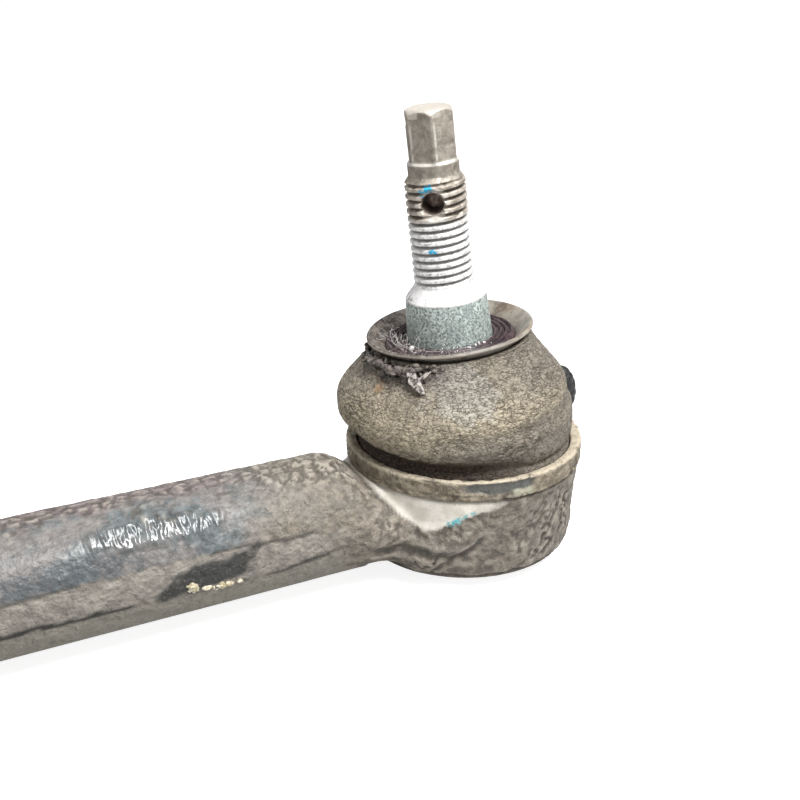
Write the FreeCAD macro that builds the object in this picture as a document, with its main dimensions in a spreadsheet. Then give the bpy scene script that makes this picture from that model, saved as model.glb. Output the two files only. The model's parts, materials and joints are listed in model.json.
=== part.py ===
"""Steering tie rod end: a ball stud in a forged socket with a round shank, closed by a pressed end
cap below and a rubber dust boot above.

Millimetres, +Z up along the socket. The origin is the centre of the end cap's flat face, which the
part rests on together with its shank. The shank runs along -X to a threaded bore. The stud leans a
few degrees from the socket axis, as a free ball stud does, and everything above the ball that
follows it is drawn about its own axis with the ball centre as origin, then put in place.
"""
import FreeCAD
import Part
import Sketcher
import math
import os
import re
from FreeCAD import Placement, Rotation, Vector

# Driving dimensions: alias, value in millimetres or degrees, meaning.
DIMENSIONS = [
    # socket head
    ("ball_height", 17.0, "ball centre above the end cap's face"),
    ("ball_radius", 12.5, "ball"),
    ("head_top_radius", 24.4, "socket head at its shoulder"),
    ("head_foot_radius", 23.3, "socket head just above its foot, drafted for the forging die"),
    ("foot_height", 2.3, "underside of the head's rim"),
    ("foot_bevel", 1.7, "bevel round the foot"),
    ("shoulder_height", 21.0, "shoulder that carries the boot ring"),
    ("spigot_radius", 19.6, "spigot inside the boot"),
    ("spigot_top", 27.0, "top of the spigot"),
    ("bead_groove_radius", 18.9, "groove in the spigot for the boot bead"),
    ("bead_groove_low", 22.3, "lower side of that groove"),
    ("bead_groove_high", 24.3, "upper side of that groove"),
    ("bore_radius", 15.4, "bore that holds the ball seats"),
    ("bore_shoulder", 20.2, "where the bore starts to close in"),
    ("throat_radius", 11.7, "opening that the stud swings in"),
    ("throat_height", 24.8, "where the throat becomes straight"),
    ("throat_bevel", 0.7, "bevel at the mouth of the throat"),
    # crimped end cap
    ("crimp_radius", 14.8, "inside of the lip rolled over the cap"),
    ("crimp_top", 3.5, "upper side of the lip"),
    ("cap_seat_radius", 17.1, "recess for the cap's rim"),
    ("cap_seat_top", 5.6, "step above the cap's rim"),
    ("cap_sheet", 1.8, "cap sheet thickness"),
    ("cap_face_radius", 10.8, "flat face of the cap"),
    ("cap_dish_radius", 13.6, "dished wall of the cap"),
    # seats and spring
    ("running_gap", 0.03, "between ball and seats"),
    ("seat_gap", 0.05, "between pieces that stay still together"),
    ("turn_gap", 0.2, "round the lower seat, which may turn"),
    ("seat_split", 16.8, "height where the two seats meet"),
    ("seat_top", 24.0, "top of the upper seat"),
    ("seat_foot", 2.9, "underside of the lower seat"),
    ("seat_foot_radius", 10.9, "part of the lower seat inside the cap's dish"),
    ("spring_outer", 9.2, "disc spring"),
    ("spring_inner", 4.0, "hole of the disc spring"),
    ("spring_sheet", 0.6, "disc spring thickness"),
    # shank and its neck
    ("shank_radius", 13.0, "round shank"),
    ("shank_length", 150.0, "ball centre to the end face"),
    ("knee_distance", 30.5, "where the shank stops being round"),
    ("neck_distance", 24.5, "where the neck has its narrow section"),
    ("neck_half_width", 15.2, "narrow section"),
    ("neck_half_height", 9.4, "narrow section"),
    ("neck_height", 11.9, "centre of the narrow section"),
    ("facet_reach", 11.8, "from the shank's axis to the flat left by each flash line"),
    ("facet_angle", 30.0, "from straight down to each flat"),
    ("thread_bore_radius", 8.19, "minor radius of the M18 x 1.5 thread"),
    ("thread_bore_depth", 55.0, "threaded length"),
    ("mouth_radius", 9.3, "countersink of the threaded bore"),
    ("shank_bevel", 1.5, "bevel round the end face"),
    ("flat_half_width", 11.5, "wrench flats, half of 23 across"),
    ("flat_length", 18.0, "wrench flats"),
    # boot ring
    ("ring_outer", 24.6, "retaining ring"),
    ("ring_inner", 22.2, "retaining ring"),
    ("ring_foot", 21.02, "retaining ring"),
    ("ring_top", 25.3, "retaining ring"),
    ("ring_round", 1.2, "rounded upper edge of the ring"),
    # boot
    ("bead_outer", 22.1, "boot bead, inside the ring"),
    ("bead_inner", 19.75, "boot bead, round the spigot"),
    ("bead_top", 25.6, "boot bead"),
    ("boot_wall", 1.8, "rubber thickness"),
    ("boot_neck_radius", 15.8, "boot neck"),
    ("boot_neck_low", 25.5, "boot neck, above the ball centre"),
    ("boot_neck_rise", 1.5, "its top follows the collar's flare"),
    # collar and stud seal, above the ball centre
    ("collar_inner", 13.2, "collar hub"),
    ("collar_sheet", 0.8, "collar sheet thickness"),
    ("collar_low", 25.2, "collar hub"),
    ("collar_flare", 28.6, "where the flare starts"),
    ("collar_lip", 31.7, "rim of the flare"),
    ("collar_lip_radius", 17.1, "rim of the flare"),
    ("seal_inner", 8.75, "seal round the stud"),
    ("seal_low", 26.0, "underside of the seal"),
    ("seal_face", 29.2, "floor between the seal's ribs"),
    ("seal_rib", 0.8, "height of each rib"),
    # ball stud, above the ball centre
    ("stem_radius", 6.3, "neck above the ball"),
    ("stem_top", 15.5, "end of the neck"),
    ("land_low", 20.5, "start of the land inside the seal"),
    ("land_radius", 8.7, "land inside the seal"),
    ("taper_low", 29.0, "large end of the 1:8 taper"),
    ("taper_high", 38.1, "small end of the taper"),
    ("taper_high_radius", 8.13, "small end of the taper"),
    ("thread_low", 41.4, "start of the M12 x 1.5 thread"),
    ("thread_high", 61.2, "end of the thread"),
    ("thread_radius", 6.0, "thread crest"),
    ("thread_pitch", 1.5, "thread"),
    ("thread_depth", 0.92, "thread"),
    ("pilot_low", 62.6, "plain pilot above the thread"),
    ("pilot_radius", 5.0, "plain pilot"),
    ("hex_low", 65.0, "start of the hexagon"),
    ("hex_high", 75.3, "tip of the stud"),
    ("hex_flats", 8.9, "across flats"),
    ("cotter_height", 57.7, "cross hole"),
    ("cotter_radius", 2.1, "cross hole"),
    ("cotter_mouth", 2.8, "countersink of the cross hole"),
    # how the stud stands
    ("lean_angle", 6.2, "lean of the stud from the socket axis"),
    ("lean_heading", 153.0, "direction of the lean, from +X"),
    ("cotter_heading", -127.0, "direction of the cross hole, from +X"),
    ("hex_turn", 13.0, "corner of the hexagon from the cross hole"),
]

# Boot sections: height above the ball centre, outer radius, offset along the lean, share of the lean.
BOOT_SECTIONS = [
    (8.3, 21.6, 0.0, 0.0),
    (9.6, 22.0, 0.3, 0.05),
    (12.0, 23.2, 1.0, 0.15),
    (15.0, 24.0, 1.9, 0.3),
    (18.6, 23.6, 2.5, 0.45),
    (22.4, 21.3, 2.8, 0.7),
    (25.4, 18.3, 2.9, 0.95),
    (28.1, 15.9, 3.05, 1.0),
]

# Forged wings beside the neck, as sections round the head: heading from the shank, radius and height
# of the section's centre, its half height and half thickness.
WING_SECTIONS = [
    (24.0, 20.5, 10.6, 8.0, 4.8),
    (36.0, 21.6, 9.3, 6.6, 4.5),
    (46.0, 22.0, 9.4, 5.6, 3.9),
    (56.0, 22.3, 11.4, 4.7, 3.3),
    (67.0, 22.6, 14.1, 4.3, 2.3),
    (78.0, 22.7, 15.8, 3.4, 1.6),
    (87.0, 22.7, 16.6, 2.4, 1.0),
]

MARGIN = 1.0  # how far a cut runs past the surface it opens
LEFT = 1  # an arc whose centre is to the left of the way along it
SKETCH_PLANE = "XZ_Plane"

doc = FreeCAD.newDocument("tie_rod_end")
sheet = doc.addObject("Spreadsheet::Sheet", "Dims")
ALIASES = [row[0] for row in DIMENSIONS]


def fill_sheet():
    """Writes the driving dimensions into the sheet and names each value's cell."""
    for row, (alias, size, meaning) in enumerate(DIMENSIONS, start=1):
        sheet.set(f"A{row}", alias)
        sheet.set(f"B{row}", str(size))
        sheet.set(f"C{row}", meaning)
        sheet.setAlias(f"B{row}", alias)
    doc.recompute()


def bound(expression):
    """The expression with each alias written as the sheet's cell."""

    def cell(word):
        return "Dims." + word[0] if word[0] in ALIASES else word[0]

    return re.sub(r"[a-z][a-z_]*", cell, expression)


def size_of(expression):
    """What the expression comes to with the sheet's numbers."""
    return float(sheet.evalExpression(bound(expression)))


def bind(thing, path, expression):
    """Ties one property of a document object to the sheet."""
    thing.setExpression(path, bound(expression))


# ---------------------------------------------------------------- sketches


def plane_of(body, role):
    return next(f for f in body.Origin.OriginFeatures if f.Role == role)


def new_sketch(body, name, role=SKETCH_PLANE):
    sketch = body.newObject("Sketcher::SketchObject", name)
    sketch.AttachmentSupport = [(plane_of(body, role), "")]
    sketch.MapMode = "FlatFace"
    return sketch


def arc_between(start, end, radius, side):
    """An arc from start to end. Side is LEFT for a centre to the left of the way there, else -LEFT."""
    chord = end - start
    half = chord.Length / 2
    normal = Vector(-chord.y, chord.x, 0).normalize() * side
    centre = (start + end) / 2 + normal * math.sqrt(max(radius * radius - half * half, 0))
    middle = centre - normal * radius
    return Part.Arc(start, middle, end)


def ends_of(sketch, index, start):
    """Which end of a sketch edge is its start, and which its end, as Sketcher numbers them."""
    first = (sketch.getPoint(index, 1) - start).Length < 1e-6
    return (1, 2) if first else (2, 1)


def pin_point(sketch, index, end, across, up):
    """Fixes a point at the two expressions, measured from the sketch's origin."""
    for kind, axis, expression in (("DistanceX", -2, across), ("DistanceY", -1, up)):
        distance = size_of(expression)
        if abs(distance) < 1e-9:
            sketch.addConstraint(Sketcher.Constraint("PointOnObject", index, end, axis))
        else:
            at = sketch.addConstraint(Sketcher.Constraint(kind, -1, 1, index, end, distance))
            bind(sketch, f"Constraints[{at}]", expression)


def outline(sketch, points):
    """Draws a closed outline. Each point is (across, up), or (across, up, radius, side) where an arc
    leads to it from the point before. All are expressions in the sheet's aliases."""
    places = [Vector(size_of(p[0]), size_of(p[1]), 0) for p in points]
    edges = []
    for i, start in enumerate(places):
        j = (i + 1) % len(places)
        if len(points[j]) > 2:
            edge = arc_between(start, places[j], size_of(points[j][2]), points[j][3])
        else:
            edge = Part.LineSegment(start, places[j])
        index = sketch.addGeometry(edge)
        edges.append((index, *ends_of(sketch, index, start)))
    for i, (index, first, last) in enumerate(edges):
        following = edges[(i + 1) % len(edges)]
        sketch.addConstraint(Sketcher.Constraint("Coincident", index, last, following[0], following[1]))
        pin_point(sketch, index, first, points[i][0], points[i][1])
        target = points[(i + 1) % len(points)]
        if len(target) > 2:
            at = sketch.addConstraint(Sketcher.Constraint("Radius", index, size_of(target[2])))
            bind(sketch, f"Constraints[{at}]", target[2])


def new_body(label):
    body = doc.addObject("PartDesign::Body", label)
    body.Label = label
    return body


def revolve(body, name, points):
    """Turns an outline of radius and height about the body's Z axis, as a solid."""
    sketch = new_sketch(body, name + "_outline")
    outline(sketch, points)
    feature = body.newObject("PartDesign::Revolution", name)
    feature.Profile = sketch
    feature.ReferenceAxis = (sketch, ["V_Axis"])
    feature.Angle = 360
    sketch.Visibility = False
    doc.recompute()
    return feature


def cut_groove(body, name, points):
    """Cuts an outline turned about the body's Z axis out of the body."""
    sketch = new_sketch(body, name + "_outline")
    outline(sketch, points)
    feature = body.newObject("PartDesign::Groove", name)
    feature.Profile = sketch
    feature.ReferenceAxis = (sketch, ["V_Axis"])
    feature.Angle = 360
    doc.recompute()


def lean_placement(share=1.0, spin=0.0):
    """The stud's frame: ball centre as origin, leaning by a share of the lean, turned by spin about itself."""
    heading = math.radians(size_of("lean_heading"))
    tilt_axis = Vector(-math.sin(heading), math.cos(heading), 0)
    lean = Rotation(tilt_axis, size_of("lean_angle") * share)
    return Placement(Vector(0, 0, size_of("ball_height")), lean * Rotation(Vector(0, 0, 1), spin))


# ---------------------------------------------------------------- housing


def head_body():
    """The turned outside of the socket head, with the spigot and its bead groove."""
    body = new_body("socket_head")
    revolve(body, "head", [
        ("0", "foot_height"),
        ("head_foot_radius - foot_bevel", "foot_height"),
        ("head_foot_radius", "foot_height + foot_bevel"),
        ("head_top_radius", "shoulder_height"),
        ("spigot_radius", "shoulder_height"),
        ("spigot_radius", "bead_groove_low"),
        ("bead_groove_radius", "bead_groove_low"),
        ("bead_groove_radius", "bead_groove_high"),
        ("spigot_radius", "bead_groove_high"),
        ("spigot_radius", "spigot_top - throat_bevel"),
        ("spigot_radius - throat_bevel", "spigot_top"),
        ("0", "spigot_top"),
    ])
    return body


def socket_void():
    """The bore of the socket, from the rolled lip at the foot to the throat at the top."""
    body = new_body("socket_void")
    revolve(body, "void", [
        ("0", f"foot_height - {MARGIN}"),
        ("crimp_radius", f"foot_height - {MARGIN}"),
        ("crimp_radius", "crimp_top"),
        ("cap_seat_radius", "crimp_top"),
        ("cap_seat_radius", "cap_seat_top"),
        ("bore_radius", "cap_seat_top"),
        ("bore_radius", "bore_shoulder"),
        ("throat_radius", "throat_height"),
        ("throat_radius", "spigot_top - throat_bevel"),
        ("throat_radius + throat_bevel", "spigot_top"),
        ("throat_radius + throat_bevel", f"spigot_top + {MARGIN}"),
        ("0", f"spigot_top + {MARGIN}"),
    ])
    return body


def along_shank(thing, distance, height):
    """Stands a shape across the shank's axis, at a distance from the socket, facing -X."""
    thing.Placement.Rotation = Rotation(Vector(0, 1, 0), -90)
    bind(thing, "Placement.Base.x", f"-({distance})")
    bind(thing, "Placement.Base.z", height)


def ellipse(name, major, minor):
    """A ring for a loft. The longer radius comes first and lies along the ellipse's own X."""
    ring = doc.addObject("Part::Ellipse", name)
    bind(ring, "MajorRadius", major)
    bind(ring, "MinorRadius", minor)
    return ring


def loft(name, rings):
    solid = doc.addObject("Part::Loft", name)
    solid.Sections = rings
    solid.Solid = True
    solid.Ruled = False
    return solid


def round_shank():
    """The shank from its end face, with a bevel, to the knee."""
    body = new_body("round_shank")
    revolve(body, "bar", [
        ("0", "0"),
        ("shank_radius", "0"),
        ("shank_radius", "shank_length - knee_distance - shank_bevel"),
        ("shank_radius - shank_bevel", "shank_length - knee_distance"),
        ("0", "shank_length - knee_distance"),
    ])
    along_shank(body, "knee_distance", "shank_radius")
    return body


def neck():
    """The forged neck: a steep run from the round shank to a lower oval, which goes on into the head."""
    shank_end = doc.addObject("Part::Circle", "neck_shank_end")
    bind(shank_end, "Radius", "shank_radius")
    rings = [shank_end]
    for name in ("neck_oval", "neck_inside"):
        rings.append(ellipse(name, "neck_half_width", "neck_half_height"))
    places = [
        ("knee_distance", "shank_radius"),
        ("neck_distance", "neck_height"),
        ("bore_radius + 2.5", "neck_height"),
    ]
    for ring, (distance, height) in zip(rings, places):
        ring.Placement.Rotation = Rotation(Vector(0, 1, 0), Vector(0, 0, 1), Vector(1, 0, 0), "XYZ")
        bind(ring, "Placement.Base.x", f"-({distance})")
        bind(ring, "Placement.Base.z", height)
    run = loft("neck", rings)
    run.Ruled = True
    return run


def wing(name, side):
    """A forged band that leaves the neck, climbs round the head and fades out at its side."""
    rings = []
    for i, (heading, radius, height, half_height, half_thickness) in enumerate(WING_SECTIONS):
        ring = ellipse(f"{name}_ring{i}", str(half_height), str(half_thickness))
        turn = math.radians(180 - side * heading)
        outward = Vector(math.cos(turn), math.sin(turn), 0)
        onward = Vector(0, 0, 1).cross(outward)
        ring.Placement.Base = outward * radius + Vector(0, 0, height)
        ring.Placement.Rotation = Rotation(Vector(0, 0, 1), outward, onward, "XYZ")
        rings.append(ring)
    return loft(name, rings)


def thread_bore():
    """The bore in the shank's end: countersunk mouth, threaded length and the drill's point."""
    body = new_body("shank_bore")
    revolve(body, "bore", [
        ("0", "0"),
        ("thread_bore_radius", "thread_bore_radius * 0.6"),
        ("thread_bore_radius", "thread_bore_radius * 0.6 + thread_bore_depth"),
        ("mouth_radius", "thread_bore_radius * 0.6 + thread_bore_depth + mouth_radius - thread_bore_radius"),
        ("mouth_radius", f"thread_bore_radius * 0.6 + thread_bore_depth + {2 * MARGIN}"),
        ("0", f"thread_bore_radius * 0.6 + thread_bore_depth + {2 * MARGIN}"),
    ])
    floor = "shank_length - thread_bore_depth - thread_bore_radius * 0.6"
    along_shank(body, f"{floor} - mouth_radius + thread_bore_radius", "shank_radius")
    return body


def shank_facet(name, turn):
    """A block that leaves one long flat low on the shank, where the forging's flash was trimmed."""
    block = doc.addObject("Part::Box", name)
    bind(block, "Length", f"shank_length - neck_distance + {MARGIN}")
    bind(block, "Width", "shank_radius")
    bind(block, "Height", "shank_radius")
    block.Placement.Rotation = Rotation(Vector(1, 0, 0), size_of(turn))
    bind(block, "Placement.Base.x", f"-shank_length - {MARGIN}")
    bind(block, "Placement.Base.y", f"-facet_reach * sin({turn}) - shank_radius / 2 * cos({turn})")
    bind(block, "Placement.Base.z", f"shank_radius * (1 - sin({turn}) / 2) + facet_reach * cos({turn})")
    return block


def wrench_flat(name, side):
    """A block that cuts one wrench flat on the shank's end."""
    block = doc.addObject("Part::Box", name)
    bind(block, "Length", f"flat_length + {MARGIN}")
    bind(block, "Width", "shank_radius")
    bind(block, "Height", "shank_radius * 3")
    bind(block, "Placement.Base.x", f"-shank_length - {MARGIN}")
    bind(block, "Placement.Base.y", "flat_half_width" if side > 0 else "-flat_half_width - shank_radius")
    bind(block, "Placement.Base.z", "-shank_radius * 0.5")
    return block


def make_housing():
    """The forging: head, neck, wings and shank in one piece, bored and faced."""
    forging = doc.addObject("Part::MultiFuse", "forging")
    forging.Shapes = [head_body(), round_shank(), neck(), wing("near_wing", -1), wing("far_wing", 1)]
    voids = doc.addObject("Part::MultiFuse", "voids")
    voids.Shapes = [
        socket_void(),
        thread_bore(),
        head_clearance(),
        wrench_flat("near_flat", -1),
        wrench_flat("far_flat", 1),
        shank_facet("near_facet", "(180 - facet_angle)"),
        shank_facet("far_facet", "(180 + facet_angle)"),
    ]
    housing = doc.addObject("Part::Cut", "housing")
    housing.Base = forging
    housing.Tool = voids
    return housing


def head_clearance():
    """What the forging leaves clear above its shoulder, so that the boot ring can be pressed on."""
    body = new_body("head_clearance")
    revolve(body, "clearance", [
        ("spigot_radius + 0.01", "shoulder_height"),
        ("ring_outer + 0.4", "shoulder_height"),
        ("ring_outer + 5", "shoulder_height + 5"),
        ("ring_outer + 5", "spigot_top + 5"),
        ("spigot_radius + 0.01", "spigot_top + 5"),
    ])
    return body


# ---------------------------------------------------------------- pieces in the socket


def make_end_cap():
    """A dished steel cap whose rim is held by the rolled lip. Its flat face is the part's foot."""
    body = new_body("end_cap")
    revolve(body, "cap", [
        ("0", "0"),
        ("cap_face_radius", "0"),
        ("cap_dish_radius - 0.4", "1.6"),
        ("cap_dish_radius", "crimp_top + seat_gap"),
        ("cap_seat_radius - seat_gap", "crimp_top + seat_gap"),
        ("cap_seat_radius - seat_gap", "cap_seat_top - seat_gap"),
        ("cap_dish_radius - 1", "cap_seat_top - seat_gap"),
        ("cap_dish_radius - cap_sheet - 0.6", "cap_seat_top - 1"),
        ("cap_dish_radius - cap_sheet - 0.6", "cap_sheet + 0.9"),
        ("cap_face_radius - 0.6", "cap_sheet"),
        ("0", "cap_sheet"),
    ])
    return body


def seat_radius(height):
    """Radius of the seats' hollow at a height above the end cap's face."""
    return f"sqrt((ball_radius + running_gap) ^ 2 - ({height} - ball_height) ^ 2)"


def make_upper_seat():
    """The plastic seat over the ball, held down by the socket's closing bore."""
    body = new_body("upper_ball_seat")
    closing = "(bore_radius - throat_radius) / (throat_height - bore_shoulder)"
    low = "(seat_split + seat_gap)"
    high = "(seat_top - seat_gap)"
    revolve(body, "seat", [
        (seat_radius(high), high, "ball_radius + running_gap", LEFT),
        (f"bore_radius - seat_gap * 2 - {high} * {closing} + bore_shoulder * {closing}", high),
        ("bore_radius - seat_gap", "bore_shoulder - seat_gap"),
        ("bore_radius - seat_gap", low),
        (seat_radius(low), low),
    ])
    return body


def make_lower_seat():
    """The plastic cup under the ball, pushed up by the disc spring and free to turn in the bore."""
    body = new_body("lower_ball_seat")
    rim = "(seat_split - seat_gap)"
    revolve(body, "seat", [
        ("0", "ball_height - ball_radius - running_gap"),
        (seat_radius(rim), rim, "ball_radius + running_gap", LEFT),
        ("bore_radius - turn_gap", rim),
        ("bore_radius - turn_gap", "cap_seat_top + turn_gap"),
        ("seat_foot_radius", "cap_seat_top + turn_gap"),
        ("seat_foot_radius", "seat_foot"),
        ("0", "seat_foot"),
    ])
    return body


def make_disc_spring():
    """A disc spring between the cap and the lower seat, which takes up the wear of the seats."""
    body = new_body("disc_spring")
    revolve(body, "spring", [
        ("spring_inner", "seat_foot - seat_gap - spring_sheet"),
        ("spring_outer", "cap_sheet + seat_gap"),
        ("spring_outer", "cap_sheet + seat_gap + spring_sheet"),
        ("spring_inner", "seat_foot - seat_gap"),
    ])
    return body


# ---------------------------------------------------------------- boot and its rings


def make_boot_ring():
    """The steel ring pressed over the boot's bead, standing on the head's shoulder."""
    body = new_body("boot_retaining_ring")
    revolve(body, "ring", [
        ("ring_inner", "ring_foot"),
        ("ring_outer - 0.3", "ring_foot"),
        ("ring_outer", "ring_foot + 0.3"),
        ("ring_outer", "ring_top - ring_round"),
        ("ring_outer - ring_round", "ring_top", "ring_round", LEFT),
        ("ring_inner", "ring_top"),
    ])
    return body


def boot_ring(name, height, radius, offset, share):
    """One circle of the boot's wall, moved along the lean and tilted by a share of it."""
    ring = doc.addObject("Part::Circle", name)
    bind(ring, "Radius", radius)
    heading = math.radians(size_of("lean_heading"))
    stand = lean_placement(share)
    stand.Base += Vector(offset * math.cos(heading), offset * math.sin(heading), height)
    ring.Placement = stand
    return ring


def boot_bead():
    """The boot's foot between spigot and ring, with the lip that sits in the spigot's groove."""
    body = new_body("boot_bead")
    revolve(body, "bead", [
        ("bead_inner", "ring_foot"),
        ("bead_outer", "ring_foot"),
        ("bead_outer", "bead_top"),
        ("bead_inner", "bead_top"),
        ("bead_inner", "bead_groove_high - seat_gap"),
        ("bead_groove_radius + seat_gap", "bead_groove_high - seat_gap * 2"),
        ("bead_groove_radius + seat_gap", "bead_groove_low + seat_gap * 2"),
        ("bead_inner", "bead_groove_low + seat_gap"),
    ])
    return body


def make_boot():
    """The dust boot, a rubber wall that bulges towards the side the stud leans to."""
    outer = []
    inner = []
    for i, (height, radius, offset, share) in enumerate(BOOT_SECTIONS):
        outer.append(boot_ring(f"boot_outer{i}", height, str(radius), offset, share))
        inner.append(boot_ring(f"boot_inner{i}", height, f"{radius} - boot_wall", offset, share))
    wall = doc.addObject("Part::Cut", "boot_wall_solid")
    wall.Base = loft("boot_outside", outer)
    wall.Tool = loft("boot_inside", inner)
    boot = doc.addObject("Part::MultiFuse", "dust_boot")
    boot.Shapes = [wall, boot_bead()]
    return boot


def make_collar():
    """The thin flared steel collar that holds the boot's neck round the stud seal."""
    body = new_body("boot_collar")
    revolve(body, "collar", [
        ("collar_inner", "collar_low"),
        ("collar_inner + collar_sheet", "collar_low"),
        ("collar_inner + collar_sheet", "collar_flare - collar_sheet * 0.3"),
        ("collar_lip_radius", "collar_lip - collar_sheet * 0.7"),
        ("collar_lip_radius - collar_sheet * 0.7", "collar_lip"),
        ("collar_inner", "collar_flare + collar_sheet * 0.3"),
    ])
    body.Placement = lean_placement()
    return body


def make_seal():
    """The rubber seal inside the collar, with three ribs round the stud and a lip against it."""
    body = new_body("stud_seal")
    outer = "(collar_inner - seat_gap)"
    step = f"(({outer} - seal_inner) / 7)"
    points = [(outer, "seal_low"), (outer, "seal_face + seal_rib")]
    for rib in (6, 4, 2):
        points.append((f"seal_inner + {step} * {rib}", "seal_face + seal_rib"))
        points.append((f"seal_inner + {step} * ({rib} - 0.2)", "seal_face"))
        points.append((f"seal_inner + {step} * ({rib} - 0.8)", "seal_face"))
        points.append((f"seal_inner + {step} * ({rib} - 1)", "seal_face + seal_rib"))
    points += [("seal_inner", "seal_face + seal_rib"), ("seal_inner", "seal_low")]
    revolve(body, "seal", points)
    body.Placement = lean_placement()
    return body


# ---------------------------------------------------------------- ball stud


def cut_thread(body):
    """Cuts the helical M12 thread, from the cone above the taper to the run-out below the pilot."""
    flank = "thread_pitch * 0.4375"
    root = "thread_pitch * 0.07"
    clear = "0.05"
    sketch = new_sketch(body, "thread_groove")
    outline(sketch, [
        ("thread_radius - thread_depth", f"thread_low - {root}"),
        (f"thread_radius + {clear}", f"thread_low - {flank}"),
        (f"thread_radius + {clear}", f"thread_low + {flank}"),
        ("thread_radius - thread_depth", f"thread_low + {root}"),
    ])
    helix = body.newObject("PartDesign::SubtractiveHelix", "thread")
    helix.Profile = sketch
    helix.ReferenceAxis = (sketch, ["V_Axis"])
    helix.Mode = "pitch-height-angle"
    bind(helix, "Pitch", "thread_pitch")
    bind(helix, "Height", "thread_high - thread_low + thread_pitch")
    doc.recompute()


def cut_cotter_hole(body):
    """Drills the cross hole for the castle nut's pin, countersunk at both ends."""
    sketch = new_sketch(body, "cotter_outline")
    mouth = "thread_radius - 0.1"
    floor = "(thread_radius - 0.1 - cotter_mouth + cotter_radius)"
    outline(sketch, [
        (f"-(thread_radius + {MARGIN})", "cotter_height"),
        (f"thread_radius + {MARGIN}", "cotter_height"),
        (f"thread_radius + {MARGIN}", "cotter_height + cotter_mouth"),
        (mouth, "cotter_height + cotter_mouth"),
        (floor, "cotter_height + cotter_radius"),
        (f"-{floor}", "cotter_height + cotter_radius"),
        (f"-({mouth})", "cotter_height + cotter_mouth"),
        (f"-(thread_radius + {MARGIN})", "cotter_height + cotter_mouth"),
    ])
    sketch.addGeometry(Part.LineSegment(*axis_ends("cotter_height")), True)
    hole = body.newObject("PartDesign::Groove", "cotter_hole")
    hole.Profile = sketch
    hole.ReferenceAxis = (sketch, ["Axis0"])
    hole.Angle = 360
    doc.recompute()


def axis_ends(height):
    """The two ends of a level construction line at a height in the sketch."""
    level = size_of(height)
    return Vector(-1, level, 0), Vector(1, level, 0)


def add_hexagon(body):
    """Pads the hexagon that holds the stud still while the nut is tightened, and bevels its tip."""
    sketch = new_sketch(body, "hexagon_outline", "XY_Plane")
    bind(sketch, "AttachmentOffset.Base.z", "hex_low")
    corner = "hex_flats / sqrt(3)"
    outline(sketch, [
        (f"{corner} * cos(hex_turn + {turn})", f"{corner} * sin(hex_turn + {turn})")
        for turn in range(0, 360, 60)
    ])
    pad = body.newObject("PartDesign::Pad", "hexagon")
    pad.Profile = sketch
    bind(pad, "Length", "hex_high - hex_low")
    doc.recompute()
    cut_groove(body, "tip_bevel", [
        ("hex_flats / 2 - 0.8", "hex_high + 0.2"),
        ("hex_flats / 2 + 1.4", "hex_high - 1.1"),
        ("hex_flats / 2 + 1.4", "hex_high + 0.2"),
    ])


def make_stud():
    """The ball stud: ball, neck, taper, threaded end with its cross hole, pilot and hexagon."""
    body = new_body("ball_stud")
    revolve(body, "stud", [
        ("0", "-ball_radius"),
        ("ball_radius", "0", "ball_radius", LEFT),
        ("stem_radius", "sqrt(ball_radius ^ 2 - stem_radius ^ 2)", "ball_radius", LEFT),
        ("stem_radius", "stem_top"),
        ("land_radius", "land_low"),
        ("land_radius", "taper_low"),
        ("taper_high_radius", "taper_high"),
        ("thread_radius", "thread_low - 0.3"),
        ("thread_radius", "thread_high"),
        ("pilot_radius", "pilot_low"),
        ("pilot_radius", "hex_low"),
        ("0", "hex_low"),
    ])
    add_hexagon(body)
    cut_cotter_hole(body)
    cut_thread(body)
    body.Placement = lean_placement(1.0, size_of("cotter_heading"))
    return body


# ---------------------------------------------------------------- check and write


def check_all():
    """Stops on any object that is in error, or whose shape is missing or broken."""
    for thing in doc.Objects:
        if any(word in state for state in thing.State for word in ("Invalid", "Error")):
            raise RuntimeError(f"{thing.Label} is {thing.State}")
        shape = getattr(thing, "Shape", None)
        if shape is None or thing.TypeId in ("App::Plane", "App::Line", "App::Point"):
            continue
        if shape.isNull() or not shape.isValid():
            raise RuntimeError(f"{thing.Label} has no valid shape")


def write(pieces):
    """Writes one STEP file for each piece, named after it."""
    os.makedirs("parts", exist_ok=True)
    for piece in pieces:
        if len(piece.Shape.Solids) != 1:
            raise RuntimeError(f"{piece.Label} has {len(piece.Shape.Solids)} solids")
        piece.Shape.exportStep(f"parts/{piece.Label}.step")


fill_sheet()
PIECES = [
    make_housing(),
    make_end_cap(),
    make_disc_spring(),
    make_lower_seat(),
    make_upper_seat(),
    make_stud(),
    make_boot_ring(),
    make_boot(),
    make_collar(),
    make_seal(),
]
doc.recompute()
check_all()
write(PIECES)
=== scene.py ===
"""A used steering tie rod end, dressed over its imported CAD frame.

Metres in Blender, millimetres in the sizes written here. +Z up the socket's axis, shank along -X.
Places round the socket are given as an azimuth in degrees from the shank towards the near side (-Y).
"""
import json
import math

import bmesh
import bpy
import numpy as np
from mathutils import Matrix, Vector


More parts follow.
